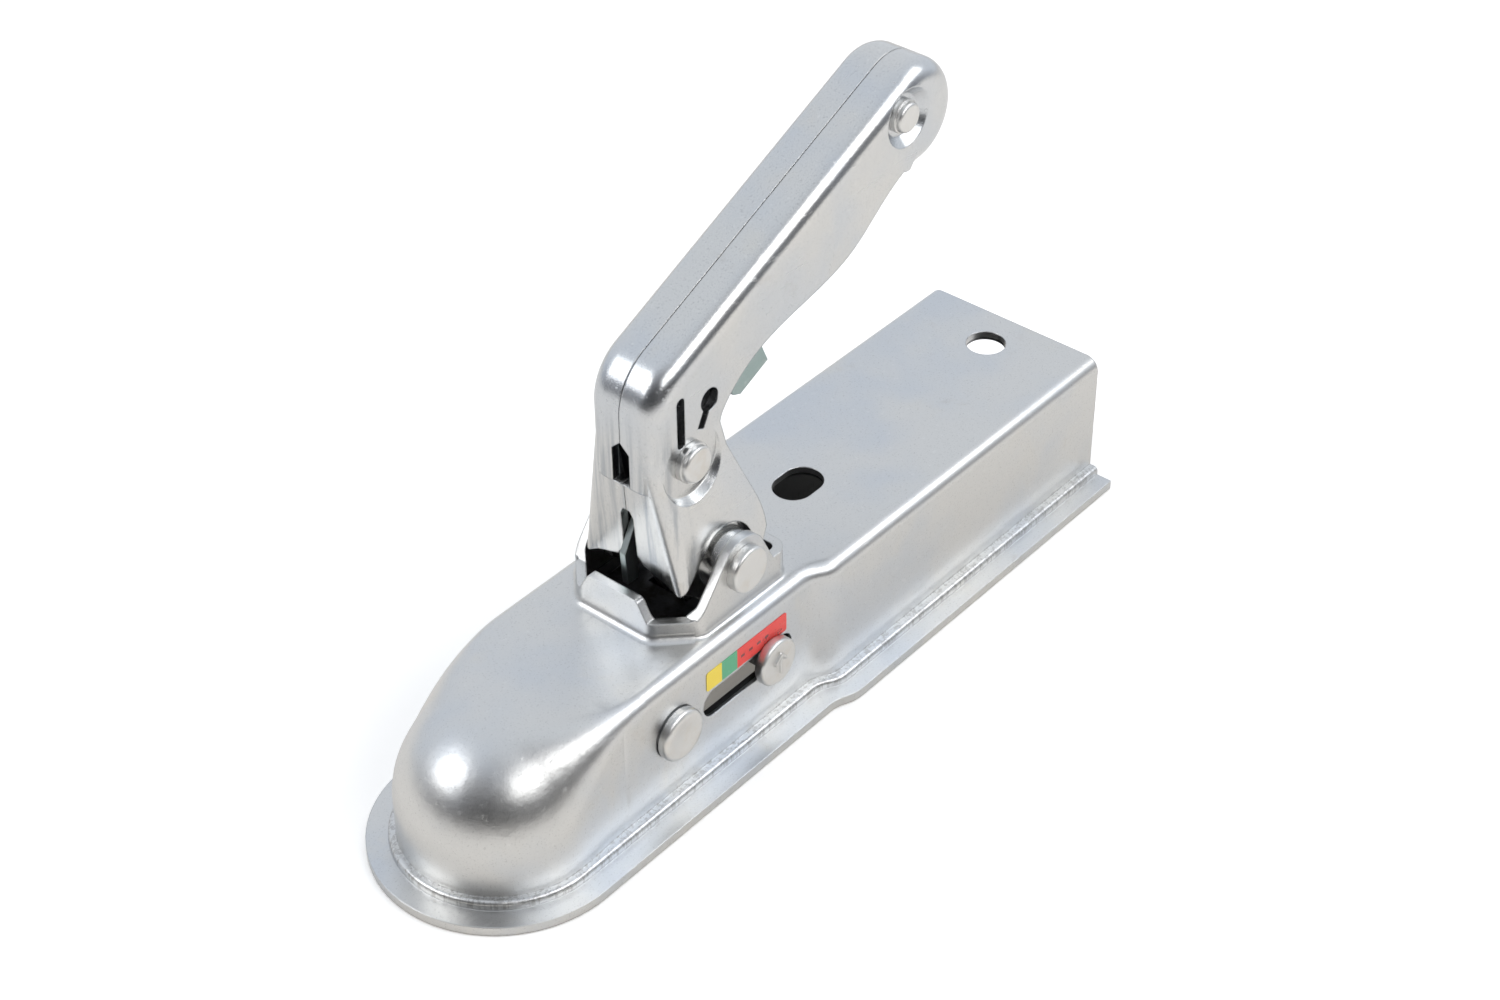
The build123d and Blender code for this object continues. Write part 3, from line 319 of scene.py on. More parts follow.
@dataclass(frozen=True)
class NeckStreaks:
    """Dark smooth runs down the front of the handle's neck, fading above it and behind it."""

    runs: Noise = Noise(1.0, 4.0, 0.6, (260.0, 320.0, 14.0))
    fade_z_mm: tuple[float, float] = (100.0, 122.0)
    fade_x_mm: tuple[float, float] = (57.0, 68.0)
    rest: float = 0.08
    tone: Colour = (0.22, 0.25, 0.29)
    cover: float = 0.55
    smoother: float = 0.07
    depth_mm: float = 0.05

    def lay(self, coat: Coat) -> None:
        """Lay the runs over a coat."""
        g = coat.graph
        run = g.noise(self.runs)
        neck = g.axis("Z").ramp(*self.fade_z_mm, 1.0, 0.0) * g.axis("X").ramp(*self.fade_x_mm, 1.0, self.rest)
        coat.colour = g.layered(coat.colour, (run.ramp(0.46, 0.68) * neck, self.cover, self.tone))
        coat.rough = coat.rough - run.ramp(0.45, 0.65) * neck * self.smoother
        coat.normal = g.bump(run * neck, self.depth_mm, coat.normal)


@dataclass(frozen=True)
class FootHatch:
    """Short upright tool marks on the bead at the housing's foot."""

    marks: Noise = Noise(1.0, 3.0, 0.65, (900.0, 900.0, 70.0))
    start_mm: tuple[float, float] = (3.1, 3.6)
    end_mm: tuple[float, float] = (5.8, 6.6)
    tone: Colour = (0.28, 0.27, 0.26)
    cover: float = 0.50
    depth_mm: float = 0.05

    def lay(self, coat: Coat) -> None:
        """Lay the marks over a coat."""
        g = coat.graph
        z = g.axis("Z")
        strip = z.ramp(*self.start_mm) * (1.0 - z.ramp(*self.end_mm))
        marks = g.noise(self.marks)
        coat.colour = g.layered(coat.colour, (marks.ramp(0.48, 0.60) * strip, self.cover, self.tone))
        coat.normal = g.bump(marks * strip, self.depth_mm, coat.normal)


@dataclass(frozen=True)
class PaintedInnerShade:
    """Painted shade on the channel's inner face: a dark tone laid over all that lies between its walls and
    under its roof.
    """

    front_mm: float = 30.0
    half_mm: float = 28.0
    roof_mm: float = 44.8
    wide_from_mm: float = 104.0
    wider_mm: float = 3.0
    # painted shade colour of the channel's inside
    tone: Colour = (0.07, 0.07, 0.075)
    cover: float = 0.72

    def lay(self, coat: Coat) -> None:
        """Lay the painted shade over a coat."""
        g = coat.graph
        x = g.axis("X")
        within = g.axis("Y").size() - x.above(self.wide_from_mm) * self.wider_mm
        inside = x.above(self.front_mm) * within.below(self.half_mm) * g.axis("Z").below(self.roof_mm)
        coat.colour = g.layered(coat.colour, (inside, self.cover, self.tone))


@dataclass(frozen=True)
class ZincSheet:
    """Zinc-plated pressed sheet: pale grey, cloudy blue and warm tints, painted glint specks, fine grain and
    scratches.
    """

    name: str
    base: Colour = (0.62, 0.62, 0.61)
    blue: Colour = (0.56, 0.585, 0.615)
    warm: Colour = (0.64, 0.62, 0.575)
    stained: Colour = (0.36, 0.31, 0.25)
    pitted: Colour = (0.30, 0.30, 0.30)
    # painted glint: a pale colour laid on the pebble noise as bright specks of painted highlight
    painted_glint: Colour = (0.82, 0.82, 0.81)
    cloud: Noise = Noise(22.0, 3.0, 0.55)
    warmth: Noise = Noise(34.0, 4.0, 0.6, (1.0, 1.0, 0.5))
    grain: Noise = Noise(1900.0, 2.0, 0.6)
    pebble: Noise = Noise(620.0, 3.0, 0.6)
    scratch: Noise = Noise(90.0, 5.0, 0.72, (0.35, 6.0, 6.0))
    stain: Noise = Noise(60.0, 6.0, 0.65)
    roughness: float = 0.33
    edge_mm: float = 0.7
    grain_mm: float = 0.018
    pebble_mm: float = 0.036
    scratch_mm: float = 0.014
    over: tuple[NeckStreaks | FootHatch | PaintedInnerShade, ...] = ()

    def make(self) -> Material:
        """Build the material.

        Returns:
            The finished material.
        """
        g = Graph(self.name)
        cloud, grain = g.noise(self.cloud), g.noise(self.grain)
        pebble, scratch = g.noise(self.pebble), g.noise(self.scratch)
        colour = g.layered(
            g.blend(cloud.ramp(0.40, 0.68), self.base, self.blue),
            (g.noise(self.warmth).ramp(0.55, 0.72), 0.50, self.warm),
            (g.noise(self.stain).ramp(0.62, 0.74), 0.20, self.stained),
            (grain.ramp(0.56, 0.74), 0.34, self.pitted),
            # painted glint specks over the pebble noise
            (pebble.ramp(0.60, 0.76), 0.20, self.painted_glint),
        )
        rough = self.roughness + (cloud - 0.5) * 0.16 + (grain - 0.5) * 0.12 + scratch.ramp(0.60, 0.72) * 0.10
        normal = g.bump(grain, self.grain_mm, g.rounded(self.edge_mm))
        normal = g.bump(pebble, self.pebble_mm, normal)
        normal = g.bump(scratch.ramp(0.58, 0.70), self.scratch_mm, normal)
        coat = Coat(g, colour, rough, normal)
        for mark in self.over:
            mark.lay(coat)
        return g.surface(Base_Color=coat.colour, Metallic=1.0, Roughness=coat.rough, Normal=coat.normal)


@dataclass(frozen=True)
class PlatedPin:
    """Zinc-plated pin or rivet head: matt pale face, brighter turned edge, small dents."""

    name: str
    base: Colour = (0.68, 0.68, 0.67)
    warm: Colour = (0.60, 0.56, 0.50)
    grain: Noise = Noise(2400.0, 2.0, 0.6)
    dents: Noise = Noise(520.0, 3.0, 0.6)
    tint: Noise = Noise(150.0, 3.0, 0.6)
    roughness: float = 0.36
    edge_mm: float = 0.6
    dent_mm: float = 0.05
    grain_mm: float = 0.012

    def make(self) -> Material:
        """Build the material.

        Returns:
            The finished material.
        """
        g = Graph(self.name)
        dents = g.noise(self.dents)
        colour = g.layered(self.base, (g.noise(self.tint).ramp(0.45, 0.75), 0.5, self.warm))
        normal = g.bump(dents, self.dent_mm, g.rounded(self.edge_mm))
        normal = g.bump(g.noise(self.grain), self.grain_mm, normal)
        rough = self.roughness + (dents - 0.5) * 0.2
        return g.surface(Base_Color=colour, Metallic=1.0, Roughness=rough, Normal=normal)


@dataclass(frozen=True)
class DarkSteel:
    """Oiled or greased steel of the inner works, with a rubbed sheen; its near-black tones also paint the
    shade inside the housing.
    """

    name: str
    # near-black base and grease tones: greased steel, and painted shade where the inner works sit in the
    # housing's dark inside
    base: Colour = (0.10, 0.10, 0.105)
    grease: Colour = (0.045, 0.04, 0.035)
    patch: Noise = Noise(140.0, 4.0, 0.6)
    grain: Noise = Noise(1300.0, 3.0, 0.6)
    roughness: float = 0.42
    cast_mm: float = 0.02
    edge_mm: float = 0.5

    def make(self) -> Material:
        """Build the material.

        Returns:
            The finished material.
        """
        g = Graph(self.name)
        patch = g.noise(self.patch)
        colour = g.blend(patch.ramp(0.42, 0.62), self.base, self.grease)
        normal = g.bump(g.noise(self.grain), self.cast_mm, g.rounded(self.edge_mm))
        rough = self.roughness + (patch - 0.5) * 0.3
        return g.surface(Base_Color=colour, Metallic=0.9, Roughness=rough, Normal=normal)


@dataclass(frozen=True)
class LabelFilm:
    """Printed film in yellow, green and red fields along X, with a row of plain dashes in the red one."""

    name: str = "label_film"
    yellow: Colour = (0.86, 0.66, 0.07)
    green: Colour = (0.10, 0.40, 0.22)
    red: Colour = (0.80, 0.07, 0.06)
    rubbed: Colour = (0.10, 0.01, 0.01)
    ink: Colour = (0.05, 0.05, 0.05)
    worn: Colour = (0.8, 0.8, 0.8)
    wear: Noise = Noise(900.0, 4.0, 0.6)
    fine_rub: Noise = Noise(1500.0, 2.0, 0.6)
    wide_rub: Noise = Noise(260.0, 2.0, 0.5)
    green_mm: float = 58.9
    red_mm: float = 65.6
    middle_mm: float = 36.3
    dash_at_mm: tuple[float, ...] = (68.0, 71.5, 75.0, 78.5)
    dash_long_mm: float = 0.8
    dash_high_mm: float = 0.45
    rub_fade_mm: tuple[float, float] = (-2.6, 2.2)
    roughness: float = 0.42

    def make(self) -> Material:
        """Build the material.

        Returns:
            The finished material.
        """
        g = Graph(self.name)
        x, up = g.axis("X"), g.axis("Z") - self.middle_mm
        wear = g.noise(self.wear).ramp(0.60, 0.72)
        bar = up.size().below(self.dash_high_mm)
        dashes = sum(bar * (x - at).size().below(self.dash_long_mm) for at in self.dash_at_mm)
        rub = g.noise(self.fine_rub).ramp(0.50, 0.58) * g.noise(self.wide_rub).ramp(0.50, 0.60)
        rub = rub * up.ramp(*self.rub_fade_mm, 1.0, 0.0) * x.above(self.red_mm + 1.0)
        fields = g.blend(x.above(self.green_mm), self.yellow, self.green)
        colour = g.layered(
            g.blend(x.above(self.red_mm), fields, self.red),
            (rub, 0.75, self.rubbed),
            (dashes, 0.8, self.ink),
            (wear, 0.12, self.worn),
        )
        return g.surface(Base_Color=colour, Roughness=self.roughness + wear * 0.2, Metallic=0.0)


# -------------------------------------------------------------- sub-assemblies


@dataclass
class Assembly:
    """A group of CAD nodes that share the same finish."""

    nodes: dict[str, bpy.types.Object]
    members: tuple[str, ...]
    finish: ZincSheet | PlatedPin | DarkSteel | LabelFilm

    def build(self) -> None:
        """Dress every member in the finish."""
        material = self.finish.make()
        for name in self.members:
            slots = self.nodes[name].data.materials
            slots.clear()
            slots.append(material)
            LOG.info("dressed %s", name)


def unit(vector: np.ndarray) -> np.ndarray:
    """The vector at length one."""
    return vector / np.linalg.norm(vector)


def smooth(t: np.ndarray) -> np.ndarray:
    """Smooth step of a share from 0 to 1: three times its square less twice its cube."""
    return t * t * (3.0 - 2.0 * t)


def stand(name: str, mesh: bpy.types.Mesh, material: Material) -> bpy.types.Object:
    """Give a mesh its only finish and stand it in the scene, at the origin.

    Args:
        name: the piece's name.
        mesh: its mesh, in metres.
        material: the finish.

    Returns:
        The new piece.
    """
    mesh.materials.clear()
    mesh.materials.append(material)
    mesh.update()
    piece = bpy.data.objects.new(name, mesh)
    bpy.context.scene.collection.objects.link(piece)
    LOG.info("built %s", name)
    return piece


def link_grid(
    name: str,
    points: np.ndarray,
    material: Material,
    body: Part,
    wrap: bool,
) -> bpy.types.Object:
    """Make a piece from a grid of points.

    Args:
        name: the piece's name.
        points: the grid, rows by columns by three, in metres, its faces pointing outwards.
        material: the finish.
        body: the body it rides on.
        wrap: whether the last column joins the first.

    Returns:
        The new piece.
    """
    rows, columns = points.shape[:2]
    row = np.arange(rows - 1)[:, None] * columns
    here = np.arange(columns if wrap else columns - 1)
    after = (here + 1) % columns
    quads = np.stack([row + here, row + columns + here, row + columns + after, row + after], axis=-1)
    mesh = bpy.data.meshes.new(name)
    mesh.from_pydata(points.reshape(-1, 3).tolist(), [], quads.reshape(-1, 4).tolist())
    mesh.shade_smooth()
    piece = stand(name, mesh, material)
    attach(piece, body.value)
    return piece


@dataclass
class HeadCap:
    """Upset head of a pin: a shallow dish in a rolled rim, over the CAD pin's plain head on the near side."""

    node: str
    body: Part
    finish: Material
    widen: float = 1.06
    crest_share: float = 0.78
    crest_mm: float = 0.55
    dish_mm: float = 0.45
    roll_mm: float = 1.5
    side_mm: float = 2.3
    ridge_mm: float = 0.0
    ridge_half_mm: float = 0.6
    ridge_fill: float = 1.3
    stem_half_mm: float = 3.4
    barb_half_mm: float = 2.5
    barb_slope: float = 1.4
    beyond_mm: float = 9.0
    dish_rings: int = 16
    roll_rings: int = 14
    spokes: int = 96

    def profile(self, radius: float) -> tuple[np.ndarray, np.ndarray]:
        """Radius and stand-off of the head's section, from its middle to the foot of its side.

        The dish rises to the crest as the crest height less the dish depth times the square of one minus
        the squared share of the crest's radius. A quarter ellipse rolls from there over the rim, and a
        straight side runs to the wall.

        Args:
            radius: the head's radius in metres.

        Returns:
            The radii and the stand-offs, in metres.
        """
        crest = radius * self.crest_share
        share = np.linspace(0.0, 1.0, self.dish_rings)
        dish_r = crest * share
        dish_h = self.crest_mm - self.dish_mm * (1.0 - share**2) ** 2
        angle = np.linspace(0.0, QUARTER_TURN, self.roll_rings)[1:]
        roll_r = crest + (radius - crest) * np.sin(angle)
        roll_h = self.crest_mm - self.roll_mm * (1.0 - np.cos(angle))
        side_r, side_h = np.array([radius]), np.array([-self.side_mm])
        return np.concatenate([dish_r, roll_r, side_r]), np.concatenate([dish_h, roll_h, side_h]) * MM

    def ridge(self, u: np.ndarray, v: np.ndarray) -> np.ndarray:
        """Height of the raised pointer on the face, in metres: an upright stem under a pair of barbs.

        Each stroke is one minus the squared share of the distance to its middle line, cut off at nothing
        and at one, so it has a rounded back. Of two strokes the higher counts.

        Args:
            u: places across the face, in metres.
            v: places up the face, in metres.

        Returns:
            The heights.
        """
        across, up = u / MM, v / MM
        to_barb = np.abs(up + np.abs(across) - self.stem_half_mm) / self.barb_slope
        stem = np.where(np.abs(up) < self.stem_half_mm, np.abs(across), self.beyond_mm)
        barb = np.where(np.abs(across) < self.barb_half_mm, to_barb, self.beyond_mm)
        near = np.minimum(stem, barb) / self.ridge_half_mm
        return self.ridge_mm * MM * np.clip(self.ridge_fill * (1.0 - near**2), 0.0, 1.0)

    def build(self) -> bpy.types.Object:
        """Turn the section about the pin's axis, which runs along Y, and close it at its middle.

        Returns:
            The new piece.
        """
        low, high = (np.array(corner, dtype=float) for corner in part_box(self.node))
        middle_x, middle_z = (low[0] + high[0]) / 2, (low[2] + high[2]) / 2
        radii, heights = self.profile((high[0] - low[0]) / 2 * self.widen)
        angle = np.linspace(0.0, FULL_TURN, self.spokes, endpoint=False)
        ring_r, turn = np.meshgrid(radii[1:], angle, indexing="ij")
        across, up = ring_r * np.cos(turn), ring_r * np.sin(turn)
        ring_h = heights[1:, None] + self.ridge(across, up)
        rings = np.stack([middle_x + across, low[1] - ring_h, middle_z + up], axis=-1)
        top = heights[0] + float(self.ridge(np.zeros(1), np.zeros(1))[0])
        points = np.vstack([[[middle_x, low[1] - top, middle_z]], rings.reshape(-1, 3)])
        count = self.spokes
        here = np.arange(count)
        after = (here + 1) % count
        hub = np.stack([np.zeros(count, dtype=int), 1 + here, 1 + after], axis=1)
        inner = 1 + count * np.arange(len(radii) - 2)[:, None]
        outer = inner + count
        bands = np.stack([inner + here, outer + here, outer + after, inner + after], axis=-1)
        mesh = bpy.data.meshes.new(f"{self.node}_cap")
        mesh.from_pydata(points.tolist(), [], hub.tolist() + bands.reshape(-1, 4).tolist())
        mesh.shade_smooth()
        piece = stand(f"{self.node}_cap", mesh, self.finish)
        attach(piece, self.body.value)
        return piece


@dataclass
class CollarRoot:
    """Wide soft bend at the foot of the collar's front, over the CAD collar's tight one. In millimetres."""

    front_x: float = 46.6
    corner: float = 10.5
    side_y: float = 24.0
    bend_r: float = 5.0
    roof_z: float = 47.0
    shoulder_y: float = 24.5
    radius: float = 2.9
    least: float = 0.35
    sink: float = 0.06
    end_cut: float = 1.5
    least_lean: float = 0.2
    square_lean: float = 0.05
    run_steps: int = 22
    bend_steps: int = 8
    hollow_steps: int = 12

    def path(self) -> tuple[np.ndarray, np.ndarray]:
        """Points along the collar's front outline and their outward directions, in millimetres.

        Straight runs between arcs: the outline of the front and of the two cut corners, each vertex
        rounded by an arc whose centre lies one bend radius inside both runs.

        Returns:
            The points and the unit directions, each N by two.
        """
        end_x, end_y = self.front_x + self.corner - self.end_cut, self.side_y - self.end_cut
        turn_y = self.side_y - self.corner
        corners = np.array([(end_x, -end_y), (self.front_x, -turn_y), (self.front_x, turn_y), (end_x, end_y)])
        points, outs = [], []
        for start, middle, end in zip(corners[:-2], corners[1:-1], corners[2:]):
            into, away = unit(middle - start), unit(end - middle)
            out_a, out_b = np.array([-into[1], into[0]]), np.array([-away[1], away[0]])
            half = math.acos(float(np.clip(out_a @ out_b, -1.0, 1.0))) / 2
            centre = middle - unit(out_a + out_b) * self.bend_r / math.cos(half)
            turn = np.linspace(0.0, 1.0, self.bend_steps)[:, None]
            aim = out_a * (1.0 - turn) + out_b * turn
            aim /= np.linalg.norm(aim, axis=1, keepdims=True)
            points.append(centre + aim * self.bend_r)
            outs.append(aim)
        first = np.linspace(corners[0], points[0][0], self.run_steps, endpoint=False)
        between = np.linspace(points[0][-1], points[1][0], self.run_steps, endpoint=False)[1:]
        last = np.linspace(points[1][-1], corners[3], self.run_steps)[1:]
        line = np.vstack([first, points[0], between, points[1], last])
        straight = [(outs[0][:1], first), (outs[0][-1:], between), (outs[1][-1:], last)]
        first_out, between_out, last_out = (np.repeat(aim, len(run), axis=0) for aim, run in straight)
        return line, np.vstack([first_out, outs[0], between_out, outs[1], last_out])

    def build(self, material: Material) -> bpy.types.Object:
        """Carry a hollow quarter circle along the outline, its radius held to what the roof's flat leaves.

        Args:
            material: the finish.

        Returns:
            The new piece.
        """
        line, out = self.path()
        lean = np.abs(out[:, 1])
        room = (self.shoulder_y - np.abs(line[:, 1])) / np.maximum(lean, self.least_lean)
        radius = np.clip(np.where(lean < self.square_lean, self.radius, room), self.least, self.radius)
        angle = np.linspace(0.0, QUARTER_TURN, self.hollow_steps)[:, None]
        away = radius * (1.0 - np.cos(angle)) - self.sink * np.cos(angle)
        up = self.roof_z + radius * (1.0 - np.sin(angle)) - self.sink * np.sin(angle)
        flat = line[None, :, :] + out[None, :, :] * away[:, :, None]
        points = np.concatenate([flat, up[:, :, None]], axis=2) * MM
        return link_grid("collar_root", points[::-1], material, Part.HOUSING, wrap=False)


@dataclass
class KeyholeShadeSheet:
    """Painted shade: a dark sheet behind the keyhole and the upright slot, against the inside of the handle's
    near half, standing in for the shade seen through them.
    """

    middle_mm: tuple[float, float] = (69.6, 111.6)
    half_mm: tuple[float, float] = (10.2, 8.9)
    near_mm: float = -9.52
    thick_mm: float = 0.3
    power: float = 2.6
    shares: tuple[float, ...] = (0.001, 0.5, 1.0)
    spokes: int = 64

    def build(self, material: Material) -> bpy.types.Object:
        """A superellipse plate: rings grow from its middle to its rim on one face and shrink on the other.

        The rim's two parts are the cosine and the sine, each without its sign raised to two over the
        power, and given its sign again.

        Args:
            material: the finish.

        Returns:
            The new piece.
        """
        angle = np.linspace(0.0, FULL_TURN, self.spokes, endpoint=False)
        cos, sin = np.cos(angle), np.sin(angle)
        rim_u = np.sign(cos) * np.abs(cos) ** (2 / self.power) * self.half_mm[0]
        rim_v = np.sign(sin) * np.abs(sin) ** (2 / self.power) * self.half_mm[1]
        share = np.array(self.shares + self.shares[::-1])[:, None]
        face = np.repeat([0.0, 1.0], len(self.shares))[:, None]
        x = self.middle_mm[0] + share * rim_u
        y = self.near_mm + face * self.thick_mm + 0.0 * x
        z = self.middle_mm[1] + share * rim_v
        return link_grid("keyhole_shade_sheet", np.stack([x, y, z], axis=-1) * MM, material, Part.HANDLE, wrap=True)


@dataclass
class StretchingSpring:
    """The main spring: a copy of the CAD coil that stands in for it."""

    end_turn: float = 0.0025

    def build(self, coil: bpy.types.Object, material: Material) -> bpy.types.Object:
        """Copy the coil and let the copy stand for the CAD node.

        Args:
            coil: the CAD node's object.
            material: the finish.

        Returns:
            The new piece.
        """
        piece = stand("main_coil", coil.data.copy(), material)
        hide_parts("main_spring")
        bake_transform(piece)
        return piece


@dataclass
class FlowingNose:
    """Housing shell whose domed crown runs out into the shoulders over the nose, as the pressing does.

    The CAD shell's section there is a rounded rectangle whose corner radius eases from the dome's to the
    shoulder's. This copy carries the photographed run of radii instead, so the skin moves by up to a few
    millimetres. All lengths are in millimetres.
    """

    nose_x: float = -1.4
    nose_len: float = 20.0
    front_half_w: float = 29.2
    grow: float = 0.7
    flat: float = 0.8
    height: float = 47.0
    shoulder_r: float = 4.6
    sheet: float = 3.0
    start_x: float = -6.0
    run: float = 35.0
    onset: float = 0.09
    fade_from: float = -20.0
    fade_to: float = -9.0
    foot_z: float = 8.0
    above_roof: float = 0.2
    reach: float = 4.5
    on_skin: float = 0.3
    cell: float = 1.9
    crease_deg: float = 42.0

    @property
    def end_x(self) -> float:
        """Where the run of radii ends."""
        return self.start_x + self.run

    @property
    def crown(self) -> float:
        """Corner radius of the dome."""
        return self.front_half_w + self.grow - self.flat

    def eased(self, x: np.ndarray) -> np.ndarray:
        """Smooth step over the pressed nose, from 0 at the dome to 1 at the straight body."""
        return smooth(np.clip((x - self.nose_x) / self.nose_len, 0.0, 1.0))

    def pressed_radius(self, x: np.ndarray) -> np.ndarray:
        """Corner radius of the CAD shell at X: a smooth step from the crown's to the shoulder's."""
        return self.crown + (self.shoulder_r - self.crown) * self.eased(x)

    def seen_radius(self, x: np.ndarray) -> np.ndarray:
        """Corner radius in the photograph: a hyperbola eases its start, and it dies out as a square."""
        ahead = (x - self.start_x) / self.run
        t = np.clip((ahead + np.sqrt(ahead * ahead + self.onset**2)) / 2.0, 0.0, 1.0)
        return self.shoulder_r + (self.crown - self.shoulder_r) * (1.0 - t) ** 2

    def half_width(self, x: np.ndarray) -> np.ndarray:
        """Half width of the nose at X: a smooth step from the dome's to the straight body's."""
        return self.front_half_w + self.grow * (1.0 - self.eased(x))

    def depth(
        self,
        across: np.ndarray,
        up: np.ndarray,
        half: np.ndarray,
        radius: np.ndarray,
    ) -> tuple[np.ndarray, np.ndarray, np.ndarray]:
        """Signed distance to a rounded rectangle, open below, and the direction it grows in.

        The corner's centre stands one radius in from the side and from the top. Beyond it on both counts
        the distance is the length to that centre less the radius, and elsewhere the nearer flat side's.

        Args:
            across: distance from the middle plane.
            up: height.
            half: half width of the section at each point.
            radius: its corner radius at each point.

        Returns:
            The distances, and the two parts of the outward direction, across and up.
        """
        side, top = across - (half - radius), up - (self.height - radius)
        both = (side > 0) & (top > 0)
        length = np.hypot(np.maximum(side, 0.0), np.maximum(top, 0.0))
        safe = np.maximum(length, WELD)
        out_y = np.where(both, side / safe, np.where(side > top, 1.0, 0.0))
        out_z = np.where(both, top / safe, np.where(side > top, 0.0, 1.0))
        return np.where(both, length, np.maximum(side, top)) - radius, out_y, out_z

    def flow(self, points: np.ndarray) -> np.ndarray:
        """Move the skin's points, in millimetres, from the CAD section to the photographed one.

        A point goes along the new section's outward direction by the difference of its depths, and one
        that lies on the outer or inner skin lands exactly on the new skin. Before the nose the section
        is turned about the dome's axis.

        Args:
            points: the points, N by three.

        Returns:
            The moved points.
        """
        x, y, z = points.T
        front = np.minimum(x - self.nose_x, 0.0)
        half, across = self.half_width(x), np.hypot(front, y)
        was, _, _ = self.depth(across, z, half, self.pressed_radius(x))
        now, out_y, out_z = self.depth(across, z, half, self.seen_radius(x))
        aim = np.where(np.abs(was + self.sheet) < self.on_skin, -self.sheet, was)
        aim = np.where(np.abs(was) < self.on_skin, 0.0, aim)
        along = (x > self.fade_from) & (x < self.end_x)
        upright = (z > self.foot_z) & (z < self.height + self.above_roof)
        fade = smooth(np.clip((x - self.fade_from) / (self.fade_to - self.fade_from), 0.0, 1.0))
        step = np.where((now < self.reach) & along & upright, aim - now, 0.0) * fade
        radial = np.maximum(across, WELD)
        return points + np.stack([front / radial * out_y, y / radial * out_y, out_z], axis=1) * step[:, None]

    def refined(self, shell: bpy.types.Object) -> bpy.types.Mesh:
        """A copy of the shell's mesh without its stored normals, cut into thin slices over the nose.

        Args:
            shell: the CAD node's object.

        Returns:
            The new mesh.
        """
        mesh = shell.data.copy()
        for name in ("custom_normal", "sharp_edge", "sharp_face"):
            if name in mesh.attributes:
                mesh.attributes.remove(mesh.attributes[name])
        work = bmesh.new()
        work.from_mesh(mesh)
        bmesh.ops.remove_doubles(work, verts=work.verts, dist=WELD)
        for cut_x in np.arange(self.fade_from, self.end_x + 1.0, self.cell):
            bmesh.ops.bisect_plane(
                work,
                geom=[*work.verts, *work.edges, *work.faces],
                dist=WELD,
                plane_co=(cut_x * MM, 0.0, 0.0),
                plane_no=(1.0, 0.0, 0.0),
            )
        bmesh.ops.triangulate(work, faces=[face for face in work.faces if len(face.verts) > 3])
        work.to_mesh(mesh)
        work.free()
        return mesh

    def build(self, shell: bpy.types.Object, material: Material) -> bpy.types.Object:
        """Refine the shell's copy, move its skin and let it stand for the node.

        Args:
            shell: the CAD node's object.
            material: the finish.

        Returns:
            The new piece.
        """
        mesh = self.refined(shell)
        flat = np.empty(len(mesh.vertices) * 3, dtype=np.float32)
        mesh.vertices.foreach_get("co", flat)
        before = flat.reshape(-1, 3).astype(float) * PER_METRE
        after = self.flow(before)
        mesh.vertices.foreach_set("co", (after * MM).astype(np.float32).ravel())
        mesh.shade_smooth()
        mesh.set_sharp_from_angle(angle=math.radians(self.crease_deg))
        piece = stand("housing_skin", mesh, material)
        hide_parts("housing_shell")
        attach(piece, Part.HOUSING.value)
        travel = np.linalg.norm(after - before, axis=1)
        LOG.info("housing_skin: %d points, the furthest moved by %.2f mm", len(travel), travel.max())
        return piece


# ----------------------------------------------------------------------- stage


@dataclass(frozen=True)
class Lamp:
    """A rectangular soft lamp: its place, size and aim in metres, and its power in watts."""

    name: str
    at: Place
    size: tuple[float, float]
    power: float
    aim: Place = (0.08, 0.0, 0.04)

    def build(self) -> None:
        """Hang the lamp and turn it to its aim."""
        data = bpy.data.lights.new(self.name, "AREA")
        data.shape = "RECTANGLE"
        data.size, data.size_y = self.size
        data.energy = self.power
        lamp = bpy.data.objects.new(self.name, data)
        turn = (Vector(self.aim) - Vector(self.at)).to_track_quat("-Z", "Y").to_matrix().to_4x4()
        lamp.matrix_world = Matrix.Translation(self.at) @ turn
        bpy.context.scene.collection.objects.link(lamp)


